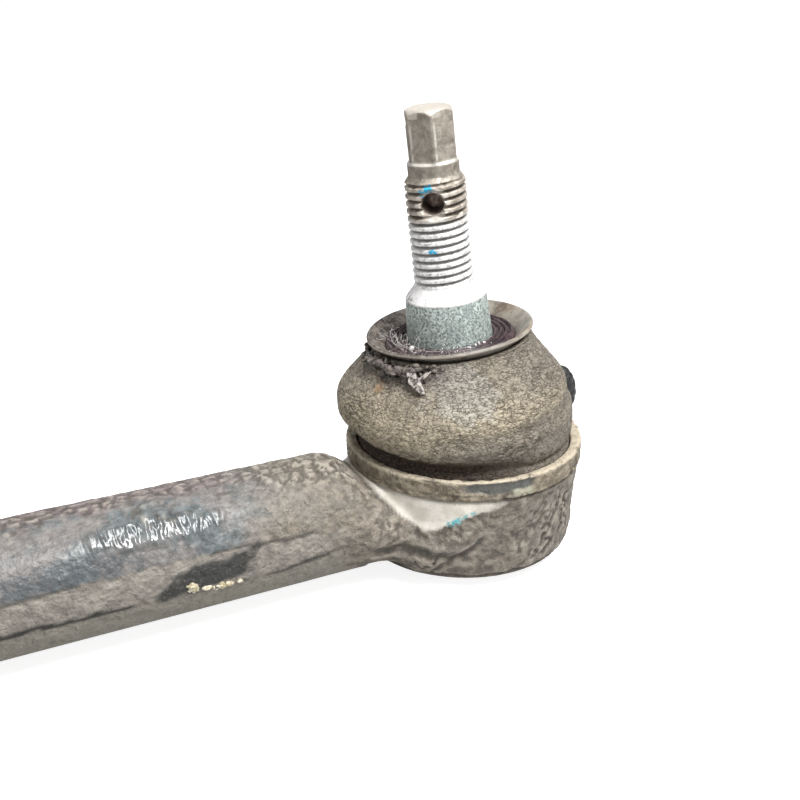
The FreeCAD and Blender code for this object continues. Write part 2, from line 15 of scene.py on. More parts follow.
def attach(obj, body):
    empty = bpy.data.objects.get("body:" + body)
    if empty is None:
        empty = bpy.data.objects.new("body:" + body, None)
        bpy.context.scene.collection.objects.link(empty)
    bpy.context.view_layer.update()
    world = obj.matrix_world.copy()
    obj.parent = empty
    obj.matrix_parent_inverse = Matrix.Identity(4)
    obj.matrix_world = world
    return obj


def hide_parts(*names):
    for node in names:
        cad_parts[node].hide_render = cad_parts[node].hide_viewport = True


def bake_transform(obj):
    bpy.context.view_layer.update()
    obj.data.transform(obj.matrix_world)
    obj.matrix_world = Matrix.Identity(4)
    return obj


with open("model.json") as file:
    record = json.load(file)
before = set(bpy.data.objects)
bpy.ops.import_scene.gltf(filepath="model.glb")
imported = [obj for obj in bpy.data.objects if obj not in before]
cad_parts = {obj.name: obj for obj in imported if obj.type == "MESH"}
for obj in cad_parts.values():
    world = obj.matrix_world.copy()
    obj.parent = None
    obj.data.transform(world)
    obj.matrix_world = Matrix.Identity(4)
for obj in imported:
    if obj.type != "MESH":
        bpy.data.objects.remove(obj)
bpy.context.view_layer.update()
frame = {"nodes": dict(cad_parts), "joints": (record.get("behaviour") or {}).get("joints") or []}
NODES = frame["nodes"]
JOINTS = {joint["name"]: joint for joint in frame["joints"]}
MM = 0.001
FLOOR_REACH = 4.0  # metres

# The stud's line, read from its spin joint.
BALL = Vector(JOINTS["stud_spin"]["pos_m"]) / MM
STUD_AXIS = Vector(JOINTS["stud_spin"]["axis"]).normalized()
LEAN = math.acos(STUD_AXIS.z)
LEAN_HEADING = math.atan2(STUD_AXIS.y, STUD_AXIS.x)
TILT_AXIS = Vector(JOINTS["stud_lean"]["axis"])

# Socket, ring and shank, in millimetres.
HEAD_TOP_RADIUS = 24.4
HEAD_FOOT_RADIUS = 23.3
FOOT_HEIGHT = 2.3
SHOULDER = 21.0
RING_INNER = 22.2
RING_OUTER = 24.6
RING_FOOT = 21.02
RING_TOP = 25.3
SHANK_RADIUS = 13.0
SHANK_BORE_CLEAR = 9.6
FORGING_VOXEL = 0.545

# Boot sections: height above the ball centre, radius, offset along the lean, share of the lean.
BOOT_SECTIONS = [
    (8.4, 21.3, 0.0, 0.0),
    (9.4, 21.2, 0.2, 0.05),
    (10.6, 22.1, 0.6, 0.1),
    (12.4, 23.3, 1.1, 0.15),
    (15.0, 24.0, 1.9, 0.3),
    (18.0, 23.7, 2.5, 0.45),
    (20.4, 22.8, 2.7, 0.55),
    (22.6, 21.0, 2.9, 0.7),
    (25.4, 18.7, 3.0, 0.95),
    (27.5, 17.2, 3.05, 1.0),
    (29.2, 16.4, 3.1, 1.0),
]
BOOT_WALL = 1.7
BOOT_FOOT_INNER = 19.8
BOOT_FOOT_OUTER = 22.05
BOOT_FOOT_LOW = 21.1
BOOT_FOOT_HIGH = 24.6
BOOT_COLUMNS = 520
BOOT_ROWS = 150
BOOT_INNER_ROWS = 20

# Collar and seal, above the ball centre along the stud.
COLLAR_INNER = 13.2
COLLAR_SHEET = 0.8
COLLAR_LOW = 25.2
COLLAR_FLARE = 28.6
COLLAR_LIP = 31.7
COLLAR_LIP_RADIUS = 17.1
SEAL_INNER = 8.75
SEAL_LOW = 26.0
SEAL_FACE = 29.2
SEAL_RIB = 0.8

# Stud, above the ball centre along its own axis.
BALL_RADIUS = 12.5
STEM_RADIUS = 6.3
STEM_TOP = 15.5
LAND_LOW = 20.5
LAND_RADIUS = 8.7
TAPER_LOW = 29.0
TAPER_HIGH = 38.1
TAPER_HIGH_RADIUS = 8.13
THREAD_LOW = 41.1
THREAD_HIGH = 61.2
THREAD_RADIUS = 6.0
THREAD_PITCH = 1.5
THREAD_DEPTH = 0.92
PILOT_LOW = 62.6
PILOT_RADIUS = 5.0
HEX_LOW = 65.0
HEX_HIGH = 75.3
HEX_FLATS = 8.9
HEX_DOME = 1.8
HEX_CROWN = 2.9
HEX_TURN = math.radians(13)
COTTER_HEIGHT = 57.7
COTTER_RADIUS = 2.1
COTTER_MOUTH = 3.1
COTTER_HEADING = math.radians(-127)


# ---------------------------------------------------------------- noise on points


def lattice(i, j, k, seed):
    """A repeatable number from 0 to 1 for each lattice point."""
    mixed = (i * 73856093) ^ (j * 19349663) ^ (k * 83492791) ^ (seed * 15485863)
    mixed = ((mixed ^ (mixed >> 13)) * 1274126177) & 0x7FFFFFFFFFFF
    return ((mixed ^ (mixed >> 16)) & 0xFFFFFF) / float(0xFFFFFF)


def smooth_noise(points, cell, seed):
    """Noise from -1 to 1 that changes over about one cell."""
    scaled = points / cell
    base = np.floor(scaled).astype(np.int64)
    share = scaled - base
    share = share * share * (3 - 2 * share)
    total = np.zeros(len(points))
    for corner in range(8):
        step = np.array([corner & 1, corner >> 1 & 1, corner >> 2])
        weight = np.prod(np.where(step, share, 1 - share), axis=1)
        total += weight * lattice(*(base + step).T, seed)
    return total * 2 - 1


def layered(points, cell, seed, layers=4):
    """Smooth noise with finer layers on it, each half as large and half as strong."""
    total = np.zeros(len(points))
    for layer in range(layers):
        total += smooth_noise(points, cell / 2**layer, seed + layer) / 2**layer
    return total / 1.5


def cracked(points, cell, seed):
    """Distance to the nearest border between cells, as a share of a cell: 0 on a border."""
    scaled = points / cell
    base = np.floor(scaled).astype(np.int64)
    nearest = np.full(len(points), 9.0)
    second = np.full(len(points), 9.0)
    for corner in range(27):
        step = np.array([corner % 3 - 1, corner // 3 % 3 - 1, corner // 9 - 1])
        cellid = base + step
        centre = cellid + np.stack([lattice(*cellid.T, seed + part) for part in range(3)], axis=1)
        distance = np.linalg.norm(centre - scaled, axis=1)
        second = np.minimum(second, np.maximum(nearest, distance))
        nearest = np.minimum(nearest, distance)
    return second - nearest


def between(value, low, high):
    """Rises smoothly from 0 at low to 1 at high, or falls when low is the larger."""
    share = np.clip((value - low) / (high - low), 0, 1)
    return share * share * (3 - 2 * share)


def spot(points, centre, radius, seed, ragged=0.35):
    """1 inside a ragged round spot and 0 outside it."""
    distance = np.linalg.norm(points - np.array(centre), axis=1) / radius
    return between(distance + ragged * layered(points, radius * 0.6, seed), 1.0, 0.75)


def warped(points, amount, cell, seed):
    """Points pushed about by noise, so that patterns drawn at them meander."""
    return points + amount * np.stack([smooth_noise(points, cell, seed + i) for i in range(3)], axis=1)


def creases(points, cell, width, seed):
    """1 along thin wandering lines and 0 between them."""
    return between(np.abs(layered(points, cell, seed, 2)), width, 0.0)


# ---------------------------------------------------------------- meshes


def points_of(mesh):
    """A mesh's points in millimetres."""
    flat = np.empty(len(mesh.vertices) * 3, np.float32)
    mesh.vertices.foreach_get("co", flat)
    return flat.reshape(-1, 3).astype(float) / MM


def normals_of(mesh):
    flat = np.empty(len(mesh.vertices) * 3, np.float32)
    mesh.vertices.foreach_get("normal", flat)
    return flat.reshape(-1, 3).astype(float)


def move_points(mesh, points):
    """Puts a mesh's points at places in millimetres."""
    mesh.vertices.foreach_set("co", (points * MM).astype(np.float32).ravel())
    mesh.update()


def tag(mesh, name, values):
    """Stores one number per point for the materials to read."""
    attribute = mesh.attributes.new(name, "FLOAT", "POINT")
    attribute.data.foreach_set("value", np.asarray(values, np.float32))


def tag_home(mesh):
    """Stores where each point starts, for the material of a piece that bends."""
    attribute = mesh.attributes.new("home", "FLOAT_VECTOR", "POINT")
    attribute.data.foreach_set("vector", (points_of(mesh) * MM).astype(np.float32).ravel())


def add_object(name, mesh):
    thing = bpy.data.objects.new(name, mesh)
    bpy.context.scene.collection.objects.link(thing)
    mesh.shade_smooth()
    return thing


def mesh_object(name, points, faces):
    """An object from points in millimetres."""
    mesh = bpy.data.meshes.new(name)
    mesh.from_pydata([tuple(p) for p in np.asarray(points) * MM], [], faces)
    mesh.update()
    return add_object(name, mesh)


def with_modifiers(thing):
    """Replaces an object's mesh by what its modifiers make of it."""
    graph = bpy.context.evaluated_depsgraph_get()
    mesh = bpy.data.meshes.new_from_object(thing.evaluated_get(graph))
    thing.modifiers.clear()
    thing.data = mesh
    mesh.shade_smooth()
    return thing


def links_of(mesh):
    """Each edge both ways, as point and neighbour, and how many neighbours each point has."""
    edges = np.empty(len(mesh.edges) * 2, np.int32)
    mesh.edges.foreach_get("vertices", edges)
    edges = edges.reshape(-1, 2)
    here = np.concatenate([edges[:, 0], edges[:, 1]])
    there = np.concatenate([edges[:, 1], edges[:, 0]])
    return here, there, np.maximum(np.bincount(here, minlength=len(mesh.vertices)), 1)


def averaged(links, values):
    """For each point, the mean of its neighbours' values."""
    here, there, count = links
    return np.bincount(here, values[there], len(count)) / count


def relaxed(mesh, points, weights, rounds):
    """Moves each point towards the middle of its neighbours, by its weight, several times."""
    links = links_of(mesh)
    for _ in range(rounds):
        middle = np.stack([averaged(links, points[:, axis]) for axis in range(3)], axis=1)
        points = points + (middle - points) * weights[:, None]
    return points


def local_depth(mesh, depth, rounds):
    """How much deeper each point lies than the surface round it."""
    links = links_of(mesh)
    broad = depth
    for _ in range(rounds):
        broad = averaged(links, broad)
    return depth - broad


def grid_faces(rows, columns, closed_rows=False):
    """Faces of a grid whose columns close on themselves, and whose rows do so on request."""
    faces = []
    for row in range(rows if closed_rows else rows - 1):
        low = row * columns
        high = (row + 1) % rows * columns
        for column in range(columns):
            following = (column + 1) % columns
            faces.append((low + column, low + following, high + following, high + column))
    return faces


def in_stud_frame(points):
    """Points drawn about an upright stud with the ball as origin, put where the stud stands."""
    lean = np.array(Matrix.Rotation(LEAN, 3, TILT_AXIS))
    return points @ lean.T + np.array(BALL)


def rounded(outline, radius, steps=4):
    """An outline of (radius, height) points with each corner rounded off."""
    corners = [Vector(p) for p in outline]
    result = []
    for i, corner in enumerate(corners):
        back = corners[i - 1] - corner
        onward = corners[(i + 1) % len(corners)] - corner
        cut = min(radius, back.length * 0.45, onward.length * 0.45)
        start = corner + back.normalized() * cut
        end = corner + onward.normalized() * cut
        for step in range(steps + 1):
            share = step / steps
            first = start.lerp(corner, share)
            result.append(first.lerp(corner.lerp(end, share), share))
    return result


def refined(outline, longest):
    """A closed outline with its long stretches divided."""
    result = []
    for i, start in enumerate(outline):
        end = outline[(i + 1) % len(outline)]
        pieces = max(1, math.ceil((end - start).length / longest))
        result.extend(start.lerp(end, step / pieces) for step in range(pieces))
    return result


def turns_round(columns):
    """Equal turns round a circle, in radians."""
    return np.arange(columns) * 2 * math.pi / columns


def circle(turns, radius, height):
    """Points at some turns round Z."""
    return np.stack([radius * np.cos(turns), radius * np.sin(turns), height + 0 * turns], axis=-1)


def end_faces(columns, count):
    """The two end faces of a tube that has so many points in all."""
    return [tuple(reversed(range(columns))), tuple(range(count - columns, count))]


def lathe(name, outline, columns):
    """A solid of revolution about Z from a closed outline of (radius, height) points."""
    radius = np.array([p[0] for p in outline])[:, None]
    height = np.array([p[1] for p in outline])[:, None]
    points = circle(turns_round(columns), radius, height).reshape(-1, 3)
    return mesh_object(name, points, grid_faces(len(outline), columns, closed_rows=True))


def facing(azimuth):
    """The level direction at an azimuth from the shank towards the near side."""
    turn = math.radians(azimuth)
    return Vector((-math.cos(turn), -math.sin(turn), 0))


def azimuth_of(points):
    """Azimuth of each point, from the shank towards the near side, from -180 to 180."""
    return np.degrees(np.arctan2(-points[:, 1], -points[:, 0]))


# ---------------------------------------------------------------- materials


class Surface:
    """One procedural material, built with short calls that each give back a socket.

    A piece that bends stores where its points started as "home", and its material reads that.
    """

    def __init__(self, name, roughness=0.6, metallic=0.0, specular=0.5, bends=False):
        self.material = bpy.data.materials.new(name)
        self.material.use_nodes = True
        self.tree = self.material.node_tree
        self.shader = self.tree.nodes["Principled BSDF"]
        self.shader.inputs["Roughness"].default_value = roughness
        self.shader.inputs["Metallic"].default_value = metallic
        self.shader.inputs["Specular IOR Level"].default_value = specular
        if bends:
            node = self.tree.nodes.new("ShaderNodeAttribute")
            node.attribute_name = "home"
            self.here = node.outputs["Vector"]
        else:
            self.here = self.tree.nodes.new("ShaderNodeTexCoord").outputs["Object"]

    def feed(self, socket, value):
        if isinstance(value, bpy.types.NodeSocket):
            self.tree.links.new(value, socket)
        else:
            socket.default_value = value

    def stretched(self, stretch):
        """The surface's own coordinates, scaled along each axis."""
        node = self.tree.nodes.new("ShaderNodeVectorMath")
        node.operation = "MULTIPLY"
        self.feed(node.inputs[0], self.here)
        node.inputs[1].default_value = stretch
        return node.outputs[0]

    def noise(self, size, detail=5.0, roughness=0.6, warp=0.0, stretch=(1, 1, 1)):
        """Noise from 0 to 1 with features of a size in millimetres."""
        node = self.tree.nodes.new("ShaderNodeTexNoise")
        self.feed(node.inputs["Vector"], self.stretched(stretch))
        node.inputs["Scale"].default_value = 1 / (size * MM)
        node.inputs["Detail"].default_value = detail
        node.inputs["Roughness"].default_value = roughness
        node.inputs["Distortion"].default_value = warp
        return node.outputs["Fac"]

    def veins(self, size, width, warp=1.0, stretch=(1, 1, 1), detail=3.0):
        """0 along thin wandering lines and 1 between them."""
        value = self.noise(size, detail, 0.6, warp, stretch)
        return self.ramp(self.math("ABSOLUTE", self.math("SUBTRACT", value, 0.5), 0.0), 0.0, width)

    def cracks(self, size, width, warp=0.4, stretch=(1, 1, 1)):
        """0 in a network of cracks and 1 on the islands between them."""
        where = self.stretched(stretch)
        shift = self.tree.nodes.new("ShaderNodeTexNoise")
        self.feed(shift.inputs["Vector"], where)
        shift.inputs["Scale"].default_value = 1 / (size * MM * 1.2)
        moved = self.tree.nodes.new("ShaderNodeVectorMath")
        moved.operation = "MULTIPLY_ADD"
        self.feed(moved.inputs[0], shift.outputs["Color"])
        moved.inputs[1].default_value = (size * MM * warp,) * 3
        self.feed(moved.inputs[2], where)
        node = self.tree.nodes.new("ShaderNodeTexVoronoi")
        node.feature = "DISTANCE_TO_EDGE"
        self.feed(node.inputs["Vector"], moved.outputs[0])
        node.inputs["Scale"].default_value = 1 / (size * MM)
        return self.ramp(node.outputs["Distance"], 0.0, width)

    def painted(self, name):
        """A number stored on the mesh."""
        node = self.tree.nodes.new("ShaderNodeAttribute")
        node.attribute_name = name
        return node.outputs["Fac"]

    def ramp(self, value, low, high):
        """0 at low and 1 at high, smooth between."""
        node = self.tree.nodes.new("ShaderNodeMapRange")
        node.interpolation_type = "SMOOTHSTEP"
        self.feed(node.inputs["Value"], value)
        node.inputs["From Min"].default_value = low
        node.inputs["From Max"].default_value = high
        return node.outputs["Result"]

    def scaled(self, value, low, high):
        """A value from 0 to 1 brought to run from low to high."""
        node = self.tree.nodes.new("ShaderNodeMapRange")
        self.feed(node.inputs["Value"], value)
        node.inputs["To Min"].default_value = low
        node.inputs["To Max"].default_value = high
        return node.outputs["Result"]

    def math(self, operation, first, second):
        node = self.tree.nodes.new("ShaderNodeMath")
        node.operation = operation
        self.feed(node.inputs[0], first)
        self.feed(node.inputs[1], second)
        return node.outputs[0]

    def part(self, amount, value):
        """A value from 0 to 1 weakened to an amount."""
        return self.math("MULTIPLY", value, amount)

    def both(self, first, second):
        return self.math("MULTIPLY", first, second)

    def mix(self, share, first, second, amount=1.0):
        """Two colours mixed by a share from 0 to 1, weakened to an amount.

        A colour is a socket or three numbers. A share is a socket or the name of a mark on the mesh.
        """
        if isinstance(share, str):
            share = self.painted(share)
        if amount != 1.0:
            share = self.part(amount, share)
        node = self.tree.nodes.new("ShaderNodeMix")
        node.data_type = "RGBA"
        self.feed(node.inputs["Factor"], share)
        for socket, colour in ((node.inputs["A"], first), (node.inputs["B"], second)):
            self.feed(socket, colour if isinstance(colour, bpy.types.NodeSocket) else (*colour, 1.0))
        return node.outputs["Result"]

    def bump(self, height, depth, normal=None, strength=1.0):
        """A bump whose height of 1 is a depth in millimetres."""
        node = self.tree.nodes.new("ShaderNodeBump")
        node.inputs["Distance"].default_value = depth * MM
        self.feed(node.inputs["Strength"], strength)
        self.feed(node.inputs["Height"], height)
        if normal is not None:
            self.feed(node.inputs["Normal"], normal)
        return node.outputs["Normal"]

    def relief(self, *layers, strength=1.0):
        """Bumps from soft noise, each layer given as its size and depth in millimetres."""
        normal = None
        for size, depth in layers:
            normal = self.bump(self.noise(size, 1.5, 0.5), depth, normal, strength)
        return normal

    def set(self, **sockets):
        """Feeds the shader: colour, roughness, metallic and normal."""
        names = {"colour": "Base Color", "roughness": "Roughness", "metallic": "Metallic", "normal": "Normal"}
        for key, value in sockets.items():
            self.feed(self.shader.inputs[names[key]], value)
        return self.material


def dress(thing, material):
    thing.data.materials.clear()
    thing.data.materials.append(material)


# ---------------------------------------------------------------- forging


def shank_angle(points):
    """Degrees round the shank: 0 on the near side, 90 on top."""
    return np.degrees(np.arctan2(points[:, 2] - SHANK_RADIUS, -points[:, 1]))


def head_radius(height):
    share = np.clip((height - FOOT_HEIGHT) / (SHOULDER - FOOT_HEIGHT), 0, 1)
    return HEAD_FOOT_RADIUS + (HEAD_TOP_RADIUS - HEAD_FOOT_RADIUS) * share


def head_relief(points, proud, marks):
    """Depth of the relief on the head and neck, with its marks for the material."""
    azimuth = azimuth_of(points)
    side = np.abs(azimuth)
    height = points[:, 2]
    off_shank = between(-points[:, 0], 34, 26)
    # The machined wall ends below in a line that dips where the lobe leaves the neck.
    line = np.interp(side, [20, 42, 50, 59, 68, 78, 96], [19.7, 13.6, 14.8, 16.7, 18.2, 19.2, 22.0])
    turned = between(height - line + 0.3 * layered(points, 2.0, 19, 2), -0.2, 0.35) * between(side, 88, 64)
    turned = turned * (np.hypot(points[:, 0], points[:, 1]) > 22.5) * between(proud, 1.5, 0.4)
    lines = creases(warped(points * (1, 1, 1.4), 1.3, 2.2, 21), 3.1, 0.13, 24)
    patches = between(layered(points, 6.0, 40, 2), -0.2, 0.2)
    rough_side = between(side, 78, 90) * between(height, 19.5, 17.0) * (0.3 + 0.7 * patches)
    lobe = between(side, 22, 34) * between(side, 66, 54) * between(height, 12, 8.5) * patches
    worms = lines * np.maximum(rough_side, lobe) * off_shank
    marks["turned"] = turned
    marks["worms"] = worms
    step = height + 0.35 * layered(points, 5.0, 45, 2) - 2.9
    marks["foot"] = between(step, 0.4, -0.2) * off_shank
    fleck = warped(points, 0.6, 0.9, 47) - np.array(facing(60) * 24.0) - np.array([0, 0, 17.0])
    slant = np.array(Vector((0.80, -0.44, 0.41)).normalized())
    along = fleck @ slant
    away = np.linalg.norm(fleck - along[:, None] * slant, axis=1)
    marks["fleck"] = between(np.abs(along), 3.3, 2.6) * between(away, 0.65, 0.35)
    bend = 0.8 * layered(points, 3.5, 49, 3)
    valley = between(np.abs(height - 9.6 + 0.03 * (side - 25) + bend), 2.0, 0.2) * between(side, 22, 30)
    fold = between(np.abs(height - 4.5 - 0.34 * (side - 47) + bend), 1.4, 0.1) * between(side, 44, 50)
    hollows = 0.75 * valley * between(side, 68, 52) + 0.4 * fold * between(side, 74, 68)
    return 0.5 * worms + (hollows + 0.4 * between(np.abs(step), 0.7, 0.1)) * off_shank


def shank_relief(points, marks):
    """Depth of the relief along the shank: an old seam, a crack, a black hollow and wrinkled gloss."""
    along = -points[:, 0]
    angle = shank_angle(points)
    wander = 1.8 * smooth_noise(points, 7.0, 50) + 1.4 * smooth_noise(points, 2.2, 51)
    near = between(along, 30, 38) * between(np.abs(angle), 120, 90)
    above = angle + wander - np.interp(along, [34, 42, 50, 58, 92, 130], [16, 17, 18.5, 21.5, 20, 16])
    below = angle + wander - np.interp(
        along, [33, 41, 47, 62, 75, 94, 130], [-2, -6, -11, -9, -8.5, -5.6, -4]
    )
    seam = between(np.abs(above), 2.2, 0.5) * near * between(layered(points, 9.0, 57, 3), -0.5, 0.0)
    crack = between(np.abs(below), 2.6, 0.9) * near
    broken = 0.75 * between(layered(points, 8.0, 55, 2), -0.1, 0.15)
    crack = crack * np.maximum(broken, between(along, 73, 76))
    band = between(below, 0, 2) * between(above, 0, -2) * near
    under = between(np.abs(angle + 44 + wander), 2.0, 0.5) * between(along, 60, 70)
    from_gloss = np.hypot((along - 69) / 18, (angle - 50) / 19)
    gloss = between(from_gloss + 0.3 * layered(points, 5.0, 60, 3), 1.0, 0.6)
    wrinkles = layered(warped(points, 0.6, 2.0, 62) * (1, 0.5, 0.5), 1.35, 61, 2)
    film = between(along + 9 * layered(points, 16.0, 63, 3), 40, 58) * between(above, -1, 1)
    edge = 0.5 * layered(points, 3.0, 70, 4)
    hollow = between(np.abs(along - 61 + 0.16 * angle) / 8.5 + edge, 1.0, 0.7)
    hollow = hollow * between(np.abs(angle - 4 - 0.5 * (61 - along)) / 11 + edge, 1.0, 0.7)
    dark = between(np.abs(along - 86) / 14 + edge, 1.0, 0.6)
    dark = dark * between(np.abs(angle - 31) / 10 + edge, 1.0, 0.5)
    crown = between(angle + 10 * layered(points, 6.0, 65, 3), 76, 90)
    crown = crown * between(angle, 140, 120) * between(along, 44, 56)
    marks["gloss"] = gloss
    marks["film"] = film
    marks["crown"] = crown * between(along + 5 * layered(points, 5.0, 66, 2), 104, 90)
    marks["soot"] = np.clip(hollow, 0, 1)
    marks["dark"] = dark
    marks["seam"] = np.clip(1.1 * crack + 0.7 * seam + 0.5 * under, 0, 1)
    marks["band"] = band
    marks["low"] = between(below, 0, -2) * near
    shelf = 0.3 * between(above, 0.5, -0.5) * between(above, -24, -2) * near
    depth = 0.55 * crack + 0.25 * seam + shelf + 0.3 * under + 0.2 * hollow
    depth = depth + wrinkles * (0.3 * gloss + 0.05 * film) + 0.3 * layered(points, 2.6, 68, 2) * gloss
    return depth + 0.25 * marks["crown"] * creases(points, 2.4, 0.25, 67)


def forging():
    """The socket, neck and shank with a forging's skin, from the CAD housing."""
    thing = add_object("forging", NODES["housing"].data.copy())
    remesh = thing.modifiers.new("skin", "REMESH")
    remesh.mode = "VOXEL"
    remesh.voxel_size = FORGING_VOXEL * MM
    with_modifiers(thing)
    mesh = thing.data
    points = points_of(mesh)
    radius = np.hypot(points[:, 0], points[:, 1])
    along = -points[:, 0]
    height = points[:, 2]
    bored = (np.hypot(points[:, 1], height - SHANK_RADIUS) < SHANK_BORE_CLEAR) & (along > 60)
    outside = ((radius > 22.0) & ~bored).astype(float)
    proud = radius - head_radius(height)
    neck = between(along, 14.0, 18.0) * between(along, 44.0, 36.0) * between(proud, 0.25, 1.0) * outside
    points = relaxed(mesh, points, np.maximum(neck * 0.6, 0.25 * outside), 24)
    points = relaxed(mesh, points, np.full(len(points), 0.4), 1)
    move_points(mesh, points)
    marks = {}
    shank = between(along, 26.0, 32.0)
    depth = 0.3 + head_relief(points, proud, marks)
    head_marks = set(marks)
    depth = depth + shank * shank_relief(points, marks)
    plain = 1 - np.clip(marks["turned"] + marks["band"] + 0.6 * marks["low"], 0, 1)
    smooth = np.clip(0.9 * marks["turned"] + shank * (0.9 * marks["gloss"] + 0.45 * marks["film"]), 0, 0.9)
    knee = between(along, 24, 30) * between(along, 58, 42) * between(shank_angle(points), 8, 34)
    forged = creases(warped(points, 1.0, 2.0, 71), 2.6, 0.16, 73)
    forged = forged * between(layered(points, 5.0, 75, 2), -0.2, 0.2)
    bark = creases(warped(points * (1, 0.6, 0.6), 0.9, 1.8, 77), 2.0, 0.2, 79) * knee
    forged = np.maximum(forged, bark)
    depth = depth + 0.34 * layered(points, 3.2, 3, 3) * (0.25 + 0.75 * plain) * (1 - smooth)
    depth = depth + (0.2 * forged + 0.14 * bark) * plain
    depth = depth + (0.12 - depth) * marks["turned"]
    skin = outside * between(height, 22.0, 20.5 + 6 * shank)
    move_points(mesh, points - normals_of(mesh) * (np.maximum(depth, 0.0) * skin)[:, None])
    for name, values in marks.items():
        tag(mesh, name, values * outside * (1 if name in head_marks else shank))
    tag(mesh, "forged", forged * skin * plain)
    # How much deeper each point lies than its surroundings: painted shade in the hollows and a painted
    # highlight on the crests.
    deeper = local_depth(mesh, depth, 6) * skin
    tag(mesh, "painted_recess_shade", between(deeper, 0.015, 0.11))
    tag(mesh, "painted_crest_highlight", between(-deeper, 0.015, 0.11))
    tag(mesh, "bore", bored)
    tag(mesh, "smooth", smooth)
    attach(thing, "socket")
    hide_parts("housing")
    dress(thing, forging_surface())
    return thing


def forging_surface():
    s = Surface("worn_forging", specular=0.45)
    fine = s.noise(0.7, 6, 0.72)
    blotch = s.noise(2.0, 8, 0.76)
    patch = s.noise(9.0, 7, 0.68)
    pores = s.ramp(s.noise(0.5, 4, 0.7), 0.56, 0.68)
    flaws = s.ramp(s.noise(1.5, 7, 0.78), 0.57, 0.66)
    colour = s.mix(s.ramp(blotch, 0.38, 0.62), (0.105, 0.092, 0.075), (0.245, 0.212, 0.17))
    colour = s.mix(s.ramp(patch, 0.48, 0.62), colour, (0.195, 0.177, 0.152), 0.6)
    mauve = s.mix(s.ramp(blotch, 0.36, 0.66), (0.115, 0.107, 0.102), (0.222, 0.206, 0.195))
    slate = s.mix(s.ramp(blotch, 0.36, 0.66), (0.052, 0.062, 0.066), (0.15, 0.168, 0.172))
    film = s.mix(s.ramp(patch, 0.42, 0.56), slate, mauve)
    film = s.mix("gloss", film, slate, 0.5)
    colour = s.mix("film", colour, film)
    band = s.mix(s.ramp(s.noise(3.2, 5, 0.6), 0.36, 0.66), (0.17, 0.155, 0.137), (0.29, 0.265, 0.232))
    colour = s.mix("band", colour, band, 0.85)
    colour = s.mix("low", colour, s.mix(blotch, (0.12, 0.112, 0.09), (0.31, 0.295, 0.25)), 0.8)
    colour = s.mix(s.both(s.painted("dark"), s.ramp(fine, 0.3, 0.55)), colour, (0.055, 0.063, 0.07), 0.85)
    crown = s.mix(s.ramp(s.noise(1.4, 6, 0.72), 0.40, 0.58), (0.05, 0.036, 0.038), (0.19, 0.15, 0.143))
    colour = s.mix("crown", colour, crown, 0.9)
    colour = s.mix(flaws, colour, (0.085, 0.076, 0.064), 0.6)
    colour = s.mix(pores, colour, (0.09, 0.082, 0.07), 0.5)
    # Painted highlight lightens the relief's crests.
    colour = s.mix("painted_crest_highlight", colour, (0.47, 0.425, 0.36), 0.4)
    # Painted shade darkens the relief's hollows.
    colour = s.mix("painted_recess_shade", colour, (0.06, 0.052, 0.043), 0.75)
    colour = s.mix("forged", colour, (0.085, 0.073, 0.058), 0.6)
    clean = s.mix(s.ramp(s.noise(3.4, 5, 0.6), 0.32, 0.68), (0.60, 0.555, 0.48), (0.80, 0.765, 0.69))
    clean = s.mix(s.ramp(s.noise(0.6, 5, 0.75), 0.60, 0.67), clean, (0.27, 0.24, 0.19), 0.8)
    colour = s.mix("turned", colour, clean)
    colour = s.mix("worms", colour, (0.06, 0.052, 0.043), 0.9)
    colour = s.mix(s.both(s.painted("soot"), s.ramp(fine, 0.30, 0.42)), colour, (0.034, 0.034, 0.032))
    colour = s.mix("seam", colour, (0.02, 0.019, 0.017))
    colour = s.mix("foot", colour, (0.085, 0.073, 0.058), 0.7)
    colour = s.mix(s.both(s.painted("fleck"), s.ramp(fine, 0.44, 0.52)), colour, (0.07, 0.42, 0.47))
    colour = s.mix("bore", colour, (0.10, 0.095, 0.09))
    rough = s.scaled(fine, 0.46, 0.80)
    rough = s.math("SUBTRACT", rough, s.part(0.30, s.painted("gloss")))
    rough = s.math("SUBTRACT", rough, s.part(0.14, s.painted("film")))
    normal = s.relief((2.2, 0.75), (1.0, 0.4), (0.45, 0.15), strength=s.scaled(s.painted("smooth"), 1.0, 0.0))
    wrinkled = s.noise(1.5, 1, 0.5, stretch=(1, 0.4, 0.4))
    normal = s.bump(s.both(wrinkled, s.painted("gloss")), 0.7, normal)
    return s.set(colour=colour, roughness=rough, normal=normal)


# ---------------------------------------------------------------- boot


def catmull(knots, position):
    """A smooth curve through rows of knots, at a position counted in knots."""
    last = len(knots) - 1
    start = min(int(position), last - 1)
    share = position - start
    a, b, c, d = (knots[min(max(start + step, 0), last)] for step in (-1, 0, 1, 2))
    return 0.5 * (
        2 * b + (c - a) * share + (2 * a - 5 * b + 4 * c - d) * share**2 + (3 * b - a - 3 * c + d) * share**3
    )


def boot_sections(turns, inward=0.0):
    """The boot's sections as circles of points, moved and tilted with the lean."""
    circles = []
    for height, radius, offset, share in BOOT_SECTIONS:
        flat = circle(turns, radius - inward, 0)
        tilt = np.array(Matrix.Rotation(LEAN * share, 3, TILT_AXIS))
        move = np.array([math.cos(LEAN_HEADING) * offset, math.sin(LEAN_HEADING) * offset, height])
        circles.append(flat @ tilt.T + move + np.array(BALL))
    return circles


def on_boot(azimuth, share, lift=0.0):
    """A point on the boot, a share of the way from its foot to its neck, lifted off it a little."""
    turn = np.array([math.radians(azimuth + 180)])
    point = catmull(boot_sections(turn), share * (len(BOOT_SECTIONS) - 1))[0]
    return Vector(point) + facing(azimuth) * lift


def bends_with_boot(thing):
    """Stores where its points start, for its material, and bakes its placement into the mesh."""
    tag_home(thing.data)
    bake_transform(thing)


